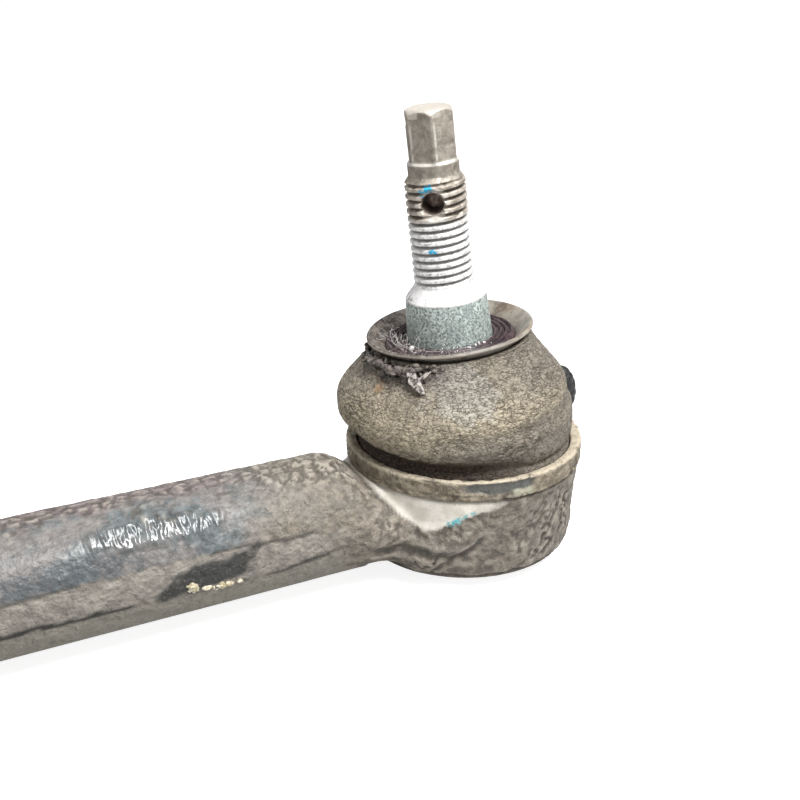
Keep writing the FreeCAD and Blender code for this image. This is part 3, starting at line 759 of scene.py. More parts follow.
def boot():
    """The rubber boot: a wall that bulges under the lean, aged and crazed outside."""
    turns = turns_round(BOOT_COLUMNS)
    outer = boot_sections(turns)
    inner = boot_sections(turns, BOOT_WALL)
    span = len(BOOT_SECTIONS) - 1
    rows = [
        circle(turns, BOOT_FOOT_INNER, BOOT_FOOT_LOW),
        circle(turns, BOOT_FOOT_OUTER - 0.05, BOOT_FOOT_LOW),
        circle(turns, BOOT_FOOT_OUTER, BOOT_FOOT_HIGH),
    ]
    skin_start = len(rows)
    rows += [catmull(outer, step / BOOT_ROWS * span) for step in range(BOOT_ROWS + 1)]
    skin_end = len(rows)
    rows += [catmull(inner, span - step / BOOT_INNER_ROWS * span) for step in range(BOOT_INNER_ROWS + 1)]
    rows.append(circle(turns, BOOT_FOOT_INNER, BOOT_FOOT_HIGH))
    points = np.concatenate(rows)
    thing = mesh_object("boot", points, grid_faces(len(rows), BOOT_COLUMNS, closed_rows=True))
    mesh = thing.data
    row_of = np.repeat(np.arange(len(rows)), BOOT_COLUMNS)
    skin = between(row_of, skin_start + 2, skin_start + 8) * between(row_of, skin_end - 1, skin_end - 6)
    azimuth = azimuth_of(points)
    height = points[:, 2]
    lumps = layered(points, 12.0, 101, 2) * 0.45
    folds = layered(points * (1, 1, 2.6), 6.0, 111, 2) * 0.22
    hollow = between(np.abs(height - 32.6 - 0.03 * (azimuth - 60)), 2.4, 0.2) * between(azimuth, 30, 75)
    strokes = warped(points * (0.62, 0.62, 1.5), 0.5, 1.2, 5)
    aged = between(layered(points, 8.0, 125, 2), -0.45, 0.25)
    crazing = between(cracked(strokes, 1.15, 121), 0.16, 0.02) * (0.3 + 0.7 * aged)
    wrinkles = layered(points * (0.45, 0.45, 1.5), 1.3, 127, 2) * between(height, 36, 41)
    filth = between(azimuth + 8 * layered(points, 4.0, 131, 3), 50, 36) * between(azimuth, -70, -20)
    filth = filth * between(height + 3.4 * layered(points, 3.0, 135, 3), 41.5, 44.0)
    ragged = layered(points, 1.3, 141, 3)
    front = between(azimuth, -150, -90) * between(azimuth + 8 * layered(points, 6.0, 145, 2), 108, 66)
    # Painted shadow in the crease where the bulge overhangs the ring at the front; the same mask also sinks
    # the crease.
    shadowed_crease = between(height + 0.9 * layered(points, 4.0, 147, 3), 29.2, 26.6) * front
    full = between(height, 25.2, 26.6) * between(height, 30.5, 27.0) * (1 - front)
    move = (lumps + folds) * between(height, 26, 30) - 0.22 * crazing * (1 - 0.6 * shadowed_crease)
    move = move + 0.4 * ragged * filth
    move = move + 0.1 * wrinkles - 0.4 * hollow - 0.35 * shadowed_crease + 1.0 * full
    move_points(mesh, points + normals_of(mesh) * (move * skin)[:, None])
    tag(mesh, "crazing", crazing * skin)
    tag(mesh, "filth", filth * skin)
    tag(mesh, "shadowed_crease", shadowed_crease)
    tag(mesh, "rust", spot(points, on_boot(16, 0.80), 2.0, 151, 1.1))
    left = between(azimuth, 14, -22) * between(azimuth, -140, -100)
    shade = 0.8 * left * between(height, 33, 38) + 0.6 * between(azimuth, 80, 120)
    shade = shade + 0.6 * hollow + 0.7 * between(height, 36.5, 43)
    shade = shade + between(height, 34.4, 29.6) * between(azimuth, 30, 70)
    shade = shade + 0.3 * layered(points, 9.0, 155, 2)
    tag(mesh, "shade", np.clip(shade, 0, 1))
    pale = between(layered(points, 9.0, 161, 3), -0.1, 0.4)
    pale = pale * between(height, 29, 31) * between(height, 42, 37)
    # Painted highlight: the lower left of the bulge is made lighter, and stored with the pale tone.
    painted_lower_left_highlight = between(azimuth, -40, -10) * between(azimuth, 80, 50)
    painted_lower_left_highlight = painted_lower_left_highlight * between(height, 29.5, 31.5) * between(height, 38, 34.5)
    tag(mesh, "pale", np.maximum(pale, painted_lower_left_highlight))
    tag(mesh, "sheen", spot(points, on_boot(68, 0.76), 7.5, 165, 0.5))
    bends_with_boot(thing)
    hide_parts("dust_boot")
    dress(thing, boot_surface())
    return thing


def boot_surface():
    s = Surface("aged_rubber", specular=0.4, bends=True)
    grain = s.noise(0.45, 5, 0.72)
    patch = s.noise(5.0, 6, 0.62, warp=0.6)
    # Two crack networks, each broken up by patches of noise.
    islands = s.cracks(0.55, 0.11, 1.0, stretch=(0.62, 0.62, 1.3))
    islands = s.math("MAXIMUM", islands, s.part(0.9, s.ramp(s.noise(1.2, 2, 0.5), 0.47, 0.60)))
    strokes = s.cracks(1.1, 0.06, 1.6, stretch=(0.5, 0.5, 1.5))
    strokes = s.math("MAXIMUM", strokes, s.part(0.9, s.ramp(s.noise(2.0, 2, 0.5), 0.42, 0.56)))
    colour = s.mix(s.ramp(patch, 0.34, 0.64), (0.225, 0.192, 0.14), (0.36, 0.313, 0.235))
    # Pale tone in random patches on the bulge, with a painted highlight on its lower left.
    colour = s.mix("pale", colour, (0.55, 0.475, 0.34), 0.5)
    colour = s.mix("sheen", colour, (0.40, 0.41, 0.40), 0.4)
    colour = s.mix("shade", colour, (0.21, 0.185, 0.155), 0.85)
    network = s.both(s.scaled(islands, 0.3, 1.0), s.scaled(strokes, 0.2, 1.0))
    colour = s.mix(network, (0.075, 0.058, 0.04), colour)
    colour = s.mix("crazing", colour, (0.06, 0.045, 0.03), 0.45)
    colour = s.mix(s.ramp(grain, 0.58, 0.70), colour, (0.13, 0.105, 0.075), 0.35)
    colour = s.mix("rust", colour, (0.36, 0.215, 0.11), 0.5)
    # Painted shadow: near-black brown for the crease under the bulge.
    dark = s.mix(s.ramp(grain, 0.4, 0.62), (0.022, 0.015, 0.012), (0.10, 0.072, 0.05))
    colour = s.mix("shadowed_crease", colour, dark)
    dirt = s.mix(s.ramp(s.noise(0.8, 5, 0.75), 0.46, 0.68), (0.03, 0.024, 0.022), (0.34, 0.30, 0.27))
    colour = s.mix("filth", colour, dirt, 0.9)
    rough = s.scaled(grain, 0.5, 0.8)
    rough = s.math("SUBTRACT", rough, s.part(0.16, s.painted("filth")))
    normal = s.relief((2.4, 0.4), (0.8, 0.2), (0.35, 0.08))
    normal = s.bump(network, 0.22, normal)
    return s.set(colour=colour, roughness=rough, normal=normal)


# ---------------------------------------------------------------- ring, collar, seal


def retaining_ring():
    """The steel ring over the boot's foot, with its rounded edge and a dent on the near side."""
    outline = [
        (RING_INNER, RING_FOOT), (RING_OUTER - 0.1, RING_FOOT), (RING_OUTER, RING_FOOT + 0.4),
        (RING_OUTER, RING_TOP - 0.2), (RING_OUTER - 0.7, RING_TOP), (RING_INNER, RING_TOP - 0.5),
    ]
    thing = lathe("retaining_ring", refined(rounded(outline, 0.6), 0.25), 600)
    mesh = thing.data
    points = points_of(mesh)
    azimuth = azimuth_of(points)
    height = points[:, 2]
    dented = between(np.abs(azimuth - 78 + 6 * layered(points, 5.0, 201, 2)), 18, 11)
    dented = dented * between(np.abs(height - 23.6 + 0.5 * layered(points, 2.0, 203, 2)), 1.3, 0.8)
    dented = dented * (np.hypot(points[:, 0], points[:, 1]) > 23.2)
    scale = creases(warped(points, 0.7, 1.6, 207) * (0.7, 0.7, 1.3), 1.9, 0.18, 209)
    scale = scale * between(layered(points, 5.0, 210, 2), -0.3, 0.2)
    lip = between(height, 24.4, 25.0) * between(layered(points, 2.4, 205, 3), -0.1, 0.35)
    groove = between(np.abs(height - 22.1 - 0.15 * layered(points, 4.0, 215, 2)), 0.35, 0.1)
    grain = np.abs(layered(points, 1.7, 211, 3))
    depth = 0.04 + 0.16 * grain + 0.2 * scale + 0.4 * dented + 0.2 * lip + 0.07 * groove
    move_points(mesh, points - normals_of(mesh) * depth[:, None])
    tag(mesh, "dented", dented)
    tag(mesh, "scale", np.clip(scale + 0.3 * groove, 0, 1))
    # Painted highlight: a lighter band along the ring's top edge.
    tag(mesh, "top", between(height + 0.35 * layered(points, 2.0, 221, 3), 24.3, 24.9))
    stain = between(np.abs(azimuth - 89 + 3 * layered(points, 2.0, 225, 2)), 7, 4)
    tag(mesh, "stain", stain * between(height + 0.4 * layered(points, 1.2, 227, 2), 23.0, 22.5))
    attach(thing, "socket")
    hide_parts("boot_retaining_ring")
    s = Surface("stained_ring", specular=0.4)
    fine = s.noise(0.6, 6, 0.74)
    blotch = s.noise(2.2, 6, 0.7, warp=0.4)
    colour = s.mix(s.ramp(blotch, 0.38, 0.62), (0.125, 0.10, 0.068), (0.32, 0.275, 0.205))
    colour = s.mix(s.ramp(s.noise(6.0, 4, 0.6), 0.5, 0.62), colour, (0.17, 0.155, 0.125), 0.5)
    # Painted highlight along the ring's top edge.
    colour = s.mix("top", colour, (0.56, 0.49, 0.375), 0.65)
    colour = s.mix(s.ramp(fine, 0.54, 0.64), colour, (0.07, 0.055, 0.038), 0.7)
    colour = s.mix("scale", colour, (0.055, 0.043, 0.03), 0.8)
    colour = s.mix("dented", colour, s.mix(fine, (0.03, 0.032, 0.03), (0.16, 0.165, 0.155)), 0.9)
    colour = s.mix("stain", colour, (0.38, 0.37, 0.28), 0.7)
    rough = s.math("SUBTRACT", s.scaled(fine, 0.5, 0.8), s.part(0.4, s.painted("dented")))
    normal = s.relief((1.6, 0.35), (0.7, 0.16), (0.35, 0.07))
    dress(thing, s.set(colour=colour, roughness=rough, normal=normal))
    return thing


def collar():
    """The thin flared dish at the boot's neck."""
    flare = COLLAR_LIP_RADIUS - COLLAR_INNER
    under = [
        (COLLAR_INNER + COLLAR_SHEET + (flare - COLLAR_SHEET) * share,
         COLLAR_FLARE - 0.24 + (COLLAR_LIP - COLLAR_FLARE - 0.36) * share**0.85)
        for share in (0.0, 0.25, 0.5, 0.75, 1.0)
    ]
    above = [
        (COLLAR_INNER + (flare - 0.5) * share,
         COLLAR_FLARE + 0.24 + (COLLAR_LIP - COLLAR_FLARE - 0.24) * share**0.85)
        for share in (1.0, 0.75, 0.5, 0.25, 0.0)
    ]
    outline = [(COLLAR_INNER, COLLAR_LOW), (COLLAR_INNER + COLLAR_SHEET, COLLAR_LOW), *under, *above]
    thing = lathe("collar", refined(rounded(outline, 0.3, 3), 0.5), 320)
    mesh = thing.data
    points = points_of(mesh)
    radius = np.hypot(points[:, 0], points[:, 1])
    lip = between(radius, 14.5, 17.0)
    points[:, 2] += lip * (0.22 * smooth_noise(points, 11.0, 301) - 0.12)
    points[:, :2] *= (1 - lip * (0.006 + 0.006 * smooth_noise(points, 8.0, 305)))[:, None]
    points = points + 0.03 * layered(points, 1.5, 311, 3)[:, None] * normals_of(mesh)
    azimuth = azimuth_of(points)
    tag(mesh, "edge", between(radius, 16.75, 16.95))
    # The dish is made darker inside towards its shank side, in noisy patches.
    grime = between(azimuth + 25 * layered(points, 5.0, 315, 3), 88, 40)
    tag(mesh, "grime", grime * between(azimuth, -120, -70))
    move_points(mesh, in_stud_frame(points))
    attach(thing, "collar")
    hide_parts("boot_collar")
    s = Surface("bronzed_collar", specular=0.5)
    fine = s.noise(0.7, 6, 0.7)
    blotch = s.noise(4.5, 5, 0.65, warp=0.5)
    colour = s.mix(s.ramp(blotch, 0.36, 0.64), (0.11, 0.083, 0.063), (0.30, 0.253, 0.197))
    colour = s.mix(s.ramp(s.noise(8.0, 3, 0.5), 0.42, 0.6), colour, (0.23, 0.235, 0.215), 0.5)
    dirt = s.mix(s.ramp(s.noise(1.2, 5, 0.72), 0.42, 0.62), (0.035, 0.026, 0.024), (0.20, 0.175, 0.155))
    # Darker patches inside the dish towards its shank side.
    colour = s.mix("grime", colour, dirt, 0.85)
    colour = s.mix(s.ramp(fine, 0.55, 0.67), colour, (0.06, 0.045, 0.038), 0.6)
    colour = s.mix("edge", colour, (0.34, 0.30, 0.255), 0.5)
    rough = s.scaled(fine, 0.34, 0.62)
    dress(thing, s.set(colour=colour, roughness=rough, normal=s.relief((2.0, 0.15), (0.6, 0.06))))
    return thing


def seal():
    """The greasy seal in the collar, with close ribs round the stud."""
    outer = COLLAR_INNER - 0.05
    ribs = 4
    steps = 44
    top = []
    for step in range(steps + 1):
        share = step / steps
        wave = 0.5 - 0.5 * math.cos(share * ribs * 2 * math.pi)
        top.append(Vector((SEAL_INNER + (outer - SEAL_INNER) * share, SEAL_FACE + SEAL_RIB * wave**0.7)))
    outline = [Vector((outer, SEAL_LOW)), Vector((SEAL_INNER, SEAL_LOW)), *top]
    outline.reverse()
    thing = lathe("seal", refined(outline, 0.6), 240)
    mesh = thing.data
    points = points_of(mesh)
    top_side = between(points[:, 2], 28.4, 29.0)
    points[:, 2] += (0.2 * layered(points, 2.6, 401, 4) - 0.12) * top_side
    azimuth = azimuth_of(points)
    dust = between(azimuth + 30 * layered(points, 2.0, 411, 3), 70, 30)
    tag(mesh, "dust", dust * between(azimuth, -60, -10))
    move_points(mesh, in_stud_frame(points))
    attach(thing, "collar")
    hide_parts("stud_seal")
    s = Surface("greasy_seal", specular=0.5)
    fine = s.noise(0.6, 6, 0.7)
    colour = s.mix(s.ramp(s.noise(2.2, 5, 0.65), 0.35, 0.65), (0.022, 0.014, 0.017), (0.085, 0.055, 0.058))
    specks = s.both(s.painted("dust"), s.ramp(s.noise(0.7, 5, 0.75), 0.52, 0.62))
    colour = s.mix(specks, colour, (0.36, 0.32, 0.30), 0.8)
    rough = s.scaled(fine, 0.3, 0.62)
    dress(thing, s.set(colour=colour, roughness=rough, normal=s.relief((1.2, 0.2), (0.5, 0.08))))
    return thing


# ---------------------------------------------------------------- stud


def hexagon_radius(turn):
    """Radius of the hexagon at a turn about the stud, its corners slightly worn."""
    sector = math.pi / 3
    across = np.mod(turn - HEX_TURN, sector) - sector / 2
    flat = HEX_FLATS / 2 / np.cos(across)
    return np.minimum(flat, HEX_FLATS / 2 / math.cos(sector / 2) * 0.985)


def thread_radius(turn, height):
    """Radius of the rolled thread, which fades out at both ends."""
    phase = np.mod((height - THREAD_LOW) / THREAD_PITCH - turn / (2 * math.pi), 1.0)
    groove = between(np.abs(phase - 0.5), 0.31, 0.05)
    full = between(height, THREAD_LOW - 0.5, THREAD_LOW + 1.0) * between(height, PILOT_LOW, THREAD_HIGH - 0.6)
    return THREAD_RADIUS - 0.02 - THREAD_DEPTH * groove * full


def stud_radius(turn, height):
    """Radius of the whole stud above the ball."""
    core = np.interp(
        height,
        [STEM_TOP, LAND_LOW, TAPER_LOW, TAPER_HIGH, TAPER_HIGH + 0.25, THREAD_LOW - 0.4, THREAD_LOW],
        [STEM_RADIUS, LAND_RADIUS, LAND_RADIUS, TAPER_HIGH_RADIUS, TAPER_HIGH_RADIUS - 0.12,
         THREAD_RADIUS + 0.1, THREAD_RADIUS],
    )
    radius = np.where(height < THREAD_LOW, core, thread_radius(turn, height))
    cone = THREAD_RADIUS - (height - THREAD_HIGH) / (PILOT_LOW - THREAD_HIGH) * (THREAD_RADIUS - PILOT_RADIUS)
    radius = np.where(height > THREAD_HIGH, np.minimum(radius, cone), radius)
    radius = np.where(height > PILOT_LOW, PILOT_RADIUS, radius)
    grip = between(height, HEX_LOW - 0.1, HEX_LOW + 0.35)
    radius = np.where(height > HEX_LOW - 0.3, radius + (hexagon_radius(turn) - radius) * grip, radius)
    rise = (height - HEX_HIGH + HEX_DOME) / HEX_DOME
    dome = HEX_CROWN + np.sqrt(np.clip(1 - rise**2, 0, 1)) * (5.1 - HEX_CROWN)
    return np.where(rise > 0, np.minimum(radius, dome), radius)


def stud():
    """The ball stud with its helical thread, cross hole and worn hexagon."""
    columns = 240
    turns = turns_round(columns)
    rows = []
    for step in range(1, 40):
        polar = math.pi * step / 40 * 0.835
        rows.append((BALL_RADIUS * math.sin(polar) + 0 * turns, -BALL_RADIUS * math.cos(polar)))
    stem_low = math.sqrt(BALL_RADIUS**2 - STEM_RADIUS**2)
    heights = [stem_low]
    for top, count in (
        (STEM_TOP, 6), (TAPER_LOW, 12), (THREAD_LOW - 0.6, 40), (PILOT_LOW, 186), (HEX_LOW - 0.3, 10),
        (HEX_LOW + 0.4, 8), (HEX_HIGH - HEX_DOME, 24), (HEX_HIGH, 26),
    ):
        heights.extend(np.linspace(heights[-1], top, count)[1:])
    rows += [(stud_radius(turns, np.full(columns, height)), height) for height in heights]
    rim = rows[-1][0]
    rows += [(rim * share, HEX_HIGH - 0.12 * (1 - share)) for share in (0.93, 0.8, 0.6, 0.35, 0.12)]
    points = np.concatenate([circle(turns, radius, height) for radius, height in rows])
    faces = grid_faces(len(rows), columns)
    foot = len(points)
    points = np.concatenate([points, [[0, 0, -BALL_RADIUS], [0, 0, HEX_HIGH - 0.14]]])
    last = (len(rows) - 1) * columns
    faces += [(foot, (column + 1) % columns, column) for column in range(columns)]
    faces += [(foot + 1, last + column, last + (column + 1) % columns) for column in range(columns)]
    thing = mesh_object("stud", points, faces)
    drilled(thing)
    mesh = thing.data
    points = points_of(mesh)
    height = points[:, 2]
    worn = layered(points, 1.6, 501, 4)
    dings = between(layered(points, 2.2, 511, 3), 0.35, 0.6) * between(height, THREAD_LOW, THREAD_LOW + 1)
    move = -0.035 * np.abs(worn) * between(height, 14, 20) - 0.22 * dings * between(height, 46, 56)
    points = points + normals_of(mesh) * move[:, None]
    turn = np.degrees(np.arctan2(points[:, 1], points[:, 0]))
    radius = np.hypot(points[:, 0], points[:, 1])
    threaded = between(height, THREAD_LOW - 0.3, THREAD_LOW + 0.3) * between(height, PILOT_LOW, THREAD_HIGH)
    tag(mesh, "root", threaded * between(radius, THREAD_RADIUS - 0.2, THREAD_RADIUS - THREAD_DEPTH))
    taper = between(height, TAPER_HIGH + 0.1, TAPER_HIGH - 0.1)
    tag(mesh, "taper", taper * between(height, LAND_LOW, LAND_LOW + 1))
    # The lower thread is painted near white: clean steel with a painted highlight.
    clean_steel_and_highlight = between(height + 1.2 * layered(points, 3.0, 521, 3), 55.5, 53.0)
    tag(mesh, "clean_steel_and_highlight", clean_steel_and_highlight * between(height, 38.0, 38.3))
    # The chamfer above the taper is painted near white: clean steel with a painted highlight.
    cone = between(height, TAPER_HIGH, TAPER_HIGH + 0.15)
    tag(mesh, "cone", cone * between(height, THREAD_LOW, THREAD_LOW - 0.3))
    tag(mesh, "hex", between(height, PILOT_LOW - 1.5, PILOT_LOW))
    upright = np.radians(turn) + COTTER_HEADING
    corner = hexagon_radius(upright)
    # Painted highlight on the hexagon's domed top.
    dome = between(height, HEX_HIGH - HEX_DOME, HEX_HIGH - HEX_DOME + 0.15)
    dome = dome * between(corner - radius, 0.02, 0.12)
    # Painted highlight along the hexagon's corners and round its foot.
    arris = between(height, HEX_LOW + 0.4, HEX_LOW + 1) * between(corner, 4.98, 5.06) * (1 - dome)
    shelf = between(np.abs(height - HEX_LOW - 0.1), 0.45, 0.15)
    tag(mesh, "dome", dome)
    tag(mesh, "corner", np.clip(0.7 * arris * between(layered(points, 1.5, 525, 2), -0.6, 0.2) + shelf, 0, 1))
    tag(mesh, "flecks", stud_flecks(points))
    from_axis = np.hypot(points[:, 1], height - COTTER_HEIGHT)
    across = np.abs(points[:, 0])
    mouth = between(from_axis, COTTER_MOUTH + 0.5, COTTER_MOUTH + 0.1)
    tag(mesh, "mouth", mouth * (across > 4.6))
    inside = between(across, 4.8, 4.5) + between(from_axis, COTTER_RADIUS + 0.2, COTTER_RADIUS + 0.02)
    inside = np.clip(inside, 0, 1) * between(from_axis, COTTER_MOUTH + 0.1, COTTER_MOUTH - 0.1)
    tag(mesh, "hole", inside * (radius > 1.9))
    points = points @ np.array(Matrix.Rotation(COTTER_HEADING, 3, "Z")).T
    chips = between(np.abs(height - TAPER_HIGH - 0.5), 1.1, 0.2) * between(azimuth_of(points), 78, 30)
    tag(mesh, "chips", chips * between(layered(points, 0.7, 541, 2), 0.2, 0.45))
    move_points(mesh, in_stud_frame(points))
    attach(thing, "stud")
    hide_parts("ball_stud")
    dress(thing, stud_surface())
    return thing


def stud_flecks(points):
    """Flecks of marking paint on the near side of the thread, above and below the cross hole."""
    flecks = np.zeros(len(points))
    for turn, height, size, seed in (
        (-5, 60.6, 1.0, 531), (-17, 59.8, 0.7, 533), (5, 60.3, 0.6, 535),
        (-5, 48.6, 0.7, 537), (-10, 48.5, 0.5, 539),
    ):
        place = (
            THREAD_RADIUS * math.cos(math.radians(turn)),
            THREAD_RADIUS * math.sin(math.radians(turn)),
            height,
        )
        flecks = np.maximum(flecks, spot(points, place, size, seed, 0.9))
    return flecks


def drilled(thing):
    """Cuts the countersunk cross hole along the stud's own X."""
    half = THREAD_RADIUS + 1.2
    sink = COTTER_MOUTH - COTTER_RADIUS
    one_side = [
        (half, COTTER_MOUTH + 0.9), (THREAD_RADIUS - 0.1, COTTER_MOUTH),
        (THREAD_RADIUS - 0.1 - sink, COTTER_RADIUS), (THREAD_RADIUS - 0.6 - sink, COTTER_RADIUS),
    ]
    stations = [(-across, radius) for across, radius in one_side] + one_side[::-1]
    columns = 48
    turns = turns_round(columns)
    points = np.concatenate([
        np.stack([across + 0 * turns, radius * np.cos(turns), COTTER_HEIGHT + radius * np.sin(turns)], axis=1)
        for across, radius in stations
    ])
    faces = grid_faces(len(stations), columns) + end_faces(columns, len(points))
    drill = mesh_object("drill", points, faces)
    cut = thing.modifiers.new("hole", "BOOLEAN")
    cut.object = drill
    cut.operation = "DIFFERENCE"
    cut.solver = "EXACT"
    with_modifiers(thing)
    bpy.data.objects.remove(drill)


def stud_surface():
    s = Surface("worn_stud", specular=0.5)
    fine = s.noise(0.45, 6, 0.75)
    blotch = s.noise(2.0, 6, 0.72, warp=0.4)
    oxide = s.mix(s.ramp(blotch, 0.36, 0.64), (0.24, 0.205, 0.17), (0.62, 0.56, 0.48))
    # Near white for the lower thread: clean steel with a painted highlight.
    white = s.mix(s.ramp(s.noise(0.9, 5, 0.72), 0.36, 0.56), (0.50, 0.49, 0.48), (0.95, 0.945, 0.94))
    colour = s.mix("clean_steel_and_highlight", oxide, white)
    mottled = s.mix(s.ramp(s.noise(0.5, 6, 0.76), 0.43, 0.57), (0.15, 0.19, 0.18), (0.62, 0.69, 0.66))
    cloudy = s.ramp(s.noise(2.6, 5, 0.66, warp=0.6), 0.46, 0.62)
    mottled = s.mix(cloudy, mottled, (0.25, 0.30, 0.285), 0.6)
    scratched = s.veins(1.1, 0.02, 0.5)
    mottled = s.mix(s.math("SUBTRACT", 1.0, scratched), mottled, (0.80, 0.86, 0.83), 0.7)
    colour = s.mix("taper", colour, mottled)
    # Chamfer painted near white: clean steel with a painted highlight.
    colour = s.mix("cone", colour, (0.86, 0.85, 0.845))
    colour = s.mix("chips", colour, (0.13, 0.12, 0.11), 0.8)
    # Thread roots are painted lighter on the lower thread, as part of its painted highlight.
    groove = s.mix("clean_steel_and_highlight", (0.085, 0.07, 0.056), (0.23, 0.22, 0.21))
    colour = s.mix("root", colour, groove, 0.85)
    greyed = s.mix(s.ramp(blotch, 0.34, 0.66), (0.19, 0.165, 0.135), (0.36, 0.325, 0.275))
    colour = s.mix("hex", colour, greyed)
    # Painted highlight on the hexagon's domed top.
    colour = s.mix("dome", colour, (0.54, 0.50, 0.44), 0.7)
    # Painted highlight on the hexagon's corners and foot.
    colour = s.mix("corner", colour, (0.70, 0.67, 0.61), 0.8)
    specks = s.ramp(s.noise(0.8, 6, 0.78), 0.60, 0.67)
    colour = s.mix(specks, colour, (0.075, 0.06, 0.045), 0.7)
    colour = s.mix("mouth", colour, s.mix(fine, (0.48, 0.43, 0.37), (0.86, 0.81, 0.73)), 0.8)
    colour = s.mix("hole", colour, s.mix(fine, (0.09, 0.065, 0.052), (0.42, 0.345, 0.30)))
    colour = s.mix(s.both(s.painted("flecks"), s.ramp(fine, 0.34, 0.44)), colour, (0.02, 0.45, 0.72))
    rough = s.scaled(fine, 0.36, 0.68)
    normal = s.relief((1.3, 0.12), (0.5, 0.06))
    metallic = s.part(0.5, s.scaled(blotch, 0.5, 1.0))
    return s.set(colour=colour, roughness=rough, metallic=metallic, normal=normal)


# ---------------------------------------------------------------- grime


def swept(path, outward, widths, thicks, seed, ragged=0.25):
    """Points and faces of a ragged strip along a path, lying across the outward directions."""
    around = 10
    turns = [2 * math.pi * step / around for step in range(around)]
    points = []
    for i, centre in enumerate(path):
        ahead = path[min(i + 1, len(path) - 1)] - path[max(i - 1, 0)]
        sideways = ahead.cross(outward[i]).normalized()
        up = sideways.cross(ahead).normalized()
        for turn in turns:
            across = sideways * math.cos(turn) * widths[i] / 2
            points.append(centre + across + up * math.sin(turn) * thicks[i] / 2)
    faces = grid_faces(len(path), around) + end_faces(around, len(points))
    points = np.array(points)
    size = np.repeat(np.array(widths), around)[:, None]
    push = np.stack([layered(points, 0.9, seed + axis, 2) for axis in range(3)], axis=1)
    return points + push * ragged * size, faces


def joined(name, parts):
    """One object from several (points, faces) pairs."""
    points = np.concatenate([part[0] for part in parts])
    faces = []
    start = 0
    for part_points, part_faces in parts:
        faces += [tuple(corner + start for corner in face) for face in part_faces]
        start += len(part_points)
    return mesh_object(name, points, faces)


def unit_ball(subdivisions):
    """Points and faces of a ball of radius 1, to be pushed into a lump."""
    shape = bmesh.new()
    bmesh.ops.create_icosphere(shape, subdivisions=subdivisions, radius=1)
    points = np.array([vertex.co for vertex in shape.verts])
    faces = [tuple(vertex.index for vertex in face.verts) for face in shape.faces]
    shape.free()
    return points, faces


def crumb(centre, size, seed):
    """One irregular crumb."""
    unit, faces = unit_ball(2)
    push = 1 + 0.45 * layered(unit + seed * 7.3, 0.8, seed, 2)
    stretch = 0.6 + 0.8 * lattice(np.arange(3), seed, 5, 3)
    return unit * push[:, None] * stretch * size / 2 + np.array(centre), faces


def grime_surface(name, dark, light, roughness):
    s = Surface(name, specular=0.4, bends=True)
    fine = s.noise(0.5, 6, 0.75)
    colour = s.mix(s.ramp(s.noise(0.9, 5, 0.72), 0.40, 0.60), dark, light)
    rough = s.scaled(fine, roughness - 0.15, roughness + 0.2)
    return s.set(colour=colour, roughness=rough, normal=s.bump(fine, 0.15))


def rag(azimuths, shares, lifts, widths, thick, seed, ragged=0.35):
    """One ragged strip laid over the boot through the given places."""
    knots = [np.array(row) for row in zip(azimuths, shares, lifts, widths)]
    steps = [catmull(knots, step / 8) for step in range(8 * (len(knots) - 1) + 1)]
    path = [on_boot(*step[:3]) for step in steps]
    outward = [facing(step[0]) * 0.7 + Vector((0, 0, 0.7)) for step in steps]
    return swept(path, outward, [step[3] for step in steps], [thick] * len(steps), seed, ragged)


def torn_strip():
    """A torn strip that hangs from the neck over the boot's shoulder."""
    thing = joined("torn_strip", [
        rag((35, 37, 39.5, 42, 44.5, 46.5), (0.96, 0.93, 0.885, 0.84, 0.80, 0.775),
            (1.5, 1.7, 1.8, 1.6, 1.2, 0.5), (1.3, 1.9, 2.2, 1.7, 1.3, 0.4), 0.4, 601, 0.2),
        rag((49, 46, 44, 42, 41), (0.95, 0.93, 0.90, 0.87, 0.84), (1.0, 1.5, 1.6, 1.5, 1.2),
            (0.3, 0.7, 0.9, 0.8, 0.4), 0.35, 611, 0.2),
    ])
    bends_with_boot(thing)
    dress(thing, grime_surface("torn_rag", (0.045, 0.038, 0.034), (0.44, 0.40, 0.365), 0.5))


def torn_band():
    """Dark shreds that run round the neck under the dish's lip."""
    thing = joined("torn_band", [
        rag((6, 15, 22, 29, 36, 43), (0.975, 0.95, 0.94, 0.95, 0.955, 0.97), (0.8, 1.3, 1.5, 1.4, 1.3, 0.7),
            (0.7, 1.4, 1.9, 1.8, 1.6, 0.5), 0.6, 621),
        rag((14, 20, 27, 33, 40), (0.93, 0.915, 0.92, 0.905, 0.925), (0.7, 1.1, 1.2, 1.2, 0.6),
            (0.4, 0.9, 1.1, 1.0, 0.3), 0.5, 626),
        rag((-16, -8, 0, 8, 14), (0.985, 0.96, 0.95, 0.955, 0.975), (0.5, 1.0, 1.1, 1.0, 0.5),
            (0.5, 1.2, 1.5, 1.3, 0.4), 0.5, 631),
    ])
    bends_with_boot(thing)
    dress(thing, grime_surface("dark_shreds", (0.018, 0.015, 0.013), (0.17, 0.145, 0.128), 0.5))


def neck_crumbs():
    """Crumbs of torn rubber along the neck and down the boot's left shoulder."""
    parts = []
    for i in range(90):
        draw = lattice(np.arange(4), i, 11, 23)
        azimuth = -30 + 82 * draw[0]
        share = 0.99 - 0.13 * draw[1] ** 1.4
        parts.append(crumb(on_boot(azimuth, share, 0.1 + 0.3 * draw[2]), 0.35 + 1.0 * draw[3] ** 2, i))
    thing = joined("neck_crumbs", parts)
    bends_with_boot(thing)
    dress(thing, grime_surface("torn_crumbs", (0.02, 0.016, 0.014), (0.17, 0.145, 0.12), 0.6))


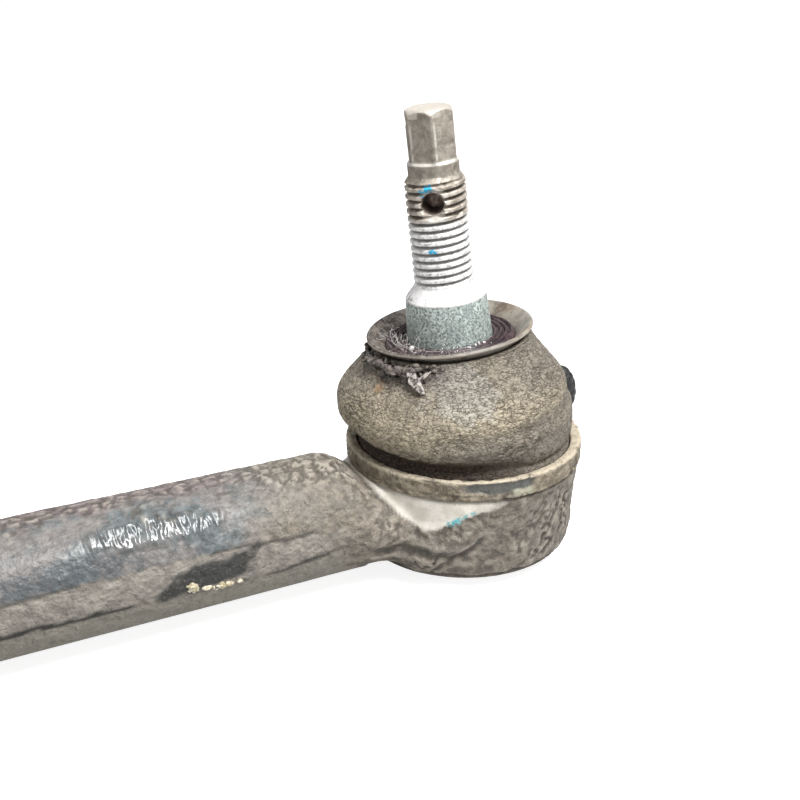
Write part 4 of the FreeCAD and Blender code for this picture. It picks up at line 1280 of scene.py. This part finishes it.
def seal_specks():
    """Pale specks round the taper where it meets the seal, on its left and near side."""
    parts = []
    for i in range(46):
        draw = lattice(np.arange(4), i, 17, 29)
        azimuth = math.radians(-40 + 150 * draw[0] ** 1.3)
        reach = LAND_RADIUS + 0.2 + 3.6 * draw[1] ** 1.6
        height = SEAL_FACE + 0.35 + 0.4 * draw[2]
        place = [-math.cos(azimuth) * reach, -math.sin(azimuth) * reach, height]
        centre = in_stud_frame(np.array([place]))[0]
        parts.append(crumb(centre, 0.2 + 1.0 * draw[3] ** 4, 200 + i))
    thing = joined("seal_specks", parts)
    tag_home(thing.data)
    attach(thing, "collar")
    dress(thing, grime_surface("pale_specks", (0.14, 0.125, 0.115), (0.74, 0.72, 0.70), 0.6))


def fibres():
    """Fine pale fibres tangled in the dish, on the left and near side."""
    parts = []
    for i in range(15):
        draw = lattice(np.arange(9), i, 31, 37)
        start = math.radians(-35 + 100 * draw[0])
        end = start + math.radians(-45 + 90 * draw[1])
        knots = []
        for azimuth, reach, height in (
            (start, 9.4 + 3 * draw[2], SEAL_FACE + 0.7),
            (start * 0.7 + end * 0.3, 10 + 4 * draw[3], SEAL_FACE + 1.2 + 2.6 * draw[4]),
            (start * 0.3 + end * 0.7, 11 + 4 * draw[5], SEAL_FACE + 1.2 + 2.6 * draw[6]),
            (end, 11 + 4.5 * draw[7], COLLAR_LIP - 1.4 + 0.6 * draw[8]),
        ):
            knots.append(np.array([-math.cos(azimuth) * reach, -math.sin(azimuth) * reach, height]))
        line = in_stud_frame(np.array([catmull(knots, step / 8) for step in range(25)]))
        path = [Vector(point) for point in line]
        thick = [0.07 + 0.05 * draw[3]] * len(path)
        parts.append(swept(path, [Vector((0.3, 0.2, 1))] * len(path), thick, thick, 700 + i, 0.0))
    thing = joined("fibres", parts)
    tag_home(thing.data)
    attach(thing, "collar")
    dress(thing, grime_surface("pale_fibre", (0.16, 0.14, 0.135), (0.60, 0.57, 0.55), 0.5))


def shank_crumbs():
    """Yellowish crumbs stuck along the lower crack under the black hollow."""
    parts = []
    for i in range(26):
        draw = lattice(np.arange(4), i, 41, 43)
        if i < 18:
            along = 61.5 + 3.4 * (draw[0] - 0.5) * 2
            angle = math.radians(-8 + 1.2 * (along - 61.5) + 7 * (draw[1] - 0.5))
        else:
            along = 55.5 + 3 * (draw[0] - 0.5)
            angle = math.radians(-10 + 4 * (draw[1] - 0.5))
        reach = SHANK_RADIUS - 0.2
        centre = (-along, -math.cos(angle) * reach, SHANK_RADIUS + math.sin(angle) * reach)
        parts.append(crumb(centre, 0.5 + 1.1 * draw[3] ** 2, 400 + i))
    thing = joined("shank_crumbs", parts)
    tag_home(thing.data)
    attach(thing, "socket")
    dress(thing, grime_surface("sandy_crumbs", (0.34, 0.29, 0.18), (0.80, 0.75, 0.60), 0.6))


def grease_lump():
    """A lump of black grease on the boot's far shoulder."""
    parts = []
    blobs = (157, 0.37, 4.0), (158, 0.41, 4.8), (158, 0.45, 5.2), (157, 0.49, 4.8), (157, 0.53, 4.0)
    for i, (azimuth, share, size) in enumerate(blobs):
        unit, faces = unit_ball(4)
        push = 1 + 0.09 * layered(unit + i * 0.2, 1.1, 800, 2)
        parts.append((unit * push[:, None] * size / 2 + np.array(on_boot(azimuth, share, -0.9)), faces))
    thing = joined("grease_lump", parts)
    bends_with_boot(thing)
    dress(thing, grime_surface("black_grease", (0.008, 0.008, 0.009), (0.03, 0.03, 0.03), 0.25))


def hole_grime():
    """Old grime packed in the middle of the stud's cross hole."""
    unit, faces = unit_ball(4)
    push = 1 - 0.25 * np.abs(layered(unit, 0.6, 820, 3))
    size = np.array([2.6, COTTER_RADIUS + 0.05, COTTER_RADIUS + 0.05])
    points = unit * push[:, None] * size + np.array([-0.8, 0, COTTER_HEIGHT])
    turned = np.array(Matrix.Rotation(COTTER_HEADING, 3, "Z"))
    thing = mesh_object("hole_grime", in_stud_frame(points @ turned.T), faces)
    tag_home(thing.data)
    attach(thing, "stud")
    dress(thing, grime_surface("packed_grime", (0.22, 0.155, 0.13), (0.60, 0.50, 0.46), 0.6))


# ---------------------------------------------------------------- the plainer pieces


def plain_pieces():
    """Materials of the CAD pieces that show as they are."""
    for node, dark, light, metallic, rough in (
        ("end_cap", (0.13, 0.115, 0.10), (0.34, 0.31, 0.28), 0.6, 0.45),
        ("disc_spring", (0.05, 0.055, 0.065), (0.16, 0.17, 0.19), 0.8, 0.35),
        ("lower_ball_seat", (0.58, 0.55, 0.46), (0.74, 0.71, 0.63), 0.0, 0.42),
        ("upper_ball_seat", (0.58, 0.55, 0.46), (0.74, 0.71, 0.63), 0.0, 0.42),
    ):
        s = Surface(node + "_surface", rough, metallic)
        fine = s.noise(0.8, 5, 0.7)
        colour = s.mix(s.ramp(s.noise(3.0, 5, 0.6), 0.35, 0.65), dark, light)
        roughness = s.scaled(fine, rough - 0.08, rough + 0.14)
        dress(NODES[node], s.set(colour=colour, roughness=roughness, normal=s.bump(fine, 0.05)))


# ---------------------------------------------------------------- setting


def light(name, place, size, watts, aim, colour=(1, 1, 1)):
    """A square soft box aimed at a point."""
    lamp = bpy.data.lights.new(name, "AREA")
    lamp.size = size
    lamp.energy = watts
    lamp.color = colour
    thing = bpy.data.objects.new(name, lamp)
    bpy.context.scene.collection.objects.link(thing)
    thing.location = place
    thing.rotation_euler = (Vector(aim) - Vector(place)).to_track_quat("-Z", "Y").to_euler()


def setting():
    """A pale floor, a white surround and soft boxes overhead and to the left."""
    bpy.context.scene.view_settings.view_transform = "Standard"
    world = bpy.data.worlds.new("surround")
    world.use_nodes = True
    tree = world.node_tree
    sky = tree.nodes["Background"]
    sky.inputs["Color"].default_value = (1, 1, 1, 1)
    # White to look at, but only a weak light on the part.
    seen = tree.nodes.new("ShaderNodeLightPath").outputs["Is Camera Ray"]
    strength = tree.nodes.new("ShaderNodeMapRange")
    strength.inputs["To Min"].default_value = 0.30
    tree.links.new(seen, strength.inputs["Value"])
    tree.links.new(strength.outputs["Result"], sky.inputs["Strength"])
    bpy.context.scene.world = world
    mesh = bpy.data.meshes.new("floor")
    corners = [(x * FLOOR_REACH, y * FLOOR_REACH, 0) for x, y in ((-1, -1), (1, -1), (1, 1), (-1, 1))]
    mesh.from_pydata(corners, [], [(0, 1, 2, 3)])
    floor = bpy.data.objects.new("floor", mesh)
    bpy.context.scene.collection.objects.link(floor)
    s = Surface("floor_paper", 0.9)
    seen = s.tree.nodes.new("ShaderNodeLightPath").outputs["Is Camera Ray"]
    s.shader.inputs["Emission Color"].default_value = (1, 1, 1, 1)
    s.feed(s.shader.inputs["Emission Strength"], s.part(0.86, seen))
    dress(floor, s.set(colour=(0.5, 0.5, 0.5, 1)))
    aim = (-0.02, 0, 0.03)
    light("key", (0.045, -0.25, 0.50), 0.19, 3.8, aim)
    light("top", (0.0325, -0.055, 0.51), 0.12, 1.3, aim)
    light("front_right", (0.30, -0.50, 0.20), 0.30, 0.7, aim)
    light("left", (-0.50, 0.05, 0.30), 0.30, 0.5, aim)
    light("back", (0.10, 0.50, 0.35), 0.30, 0.45, aim)


def camera():
    """The photograph's view: from the front left, looking down at the socket."""
    data = bpy.data.cameras.new("camera")
    data.lens = 52.34
    data.sensor_width = 36
    data.clip_start = 0.005
    thing = bpy.data.objects.new("camera", data)
    bpy.context.scene.collection.objects.link(thing)
    thing.location = (-0.1126, -0.1918, 0.1262)
    thing.rotation_euler = (math.radians(67), 0, math.radians(-27))
    bpy.context.scene.camera = thing


forging()
boot()
retaining_ring()
collar()
seal()
stud()
torn_strip()
torn_band()
neck_crumbs()
seal_specks()
fibres()
shank_crumbs()
grease_lump()
hole_grime()
plain_pieces()
setting()
camera()
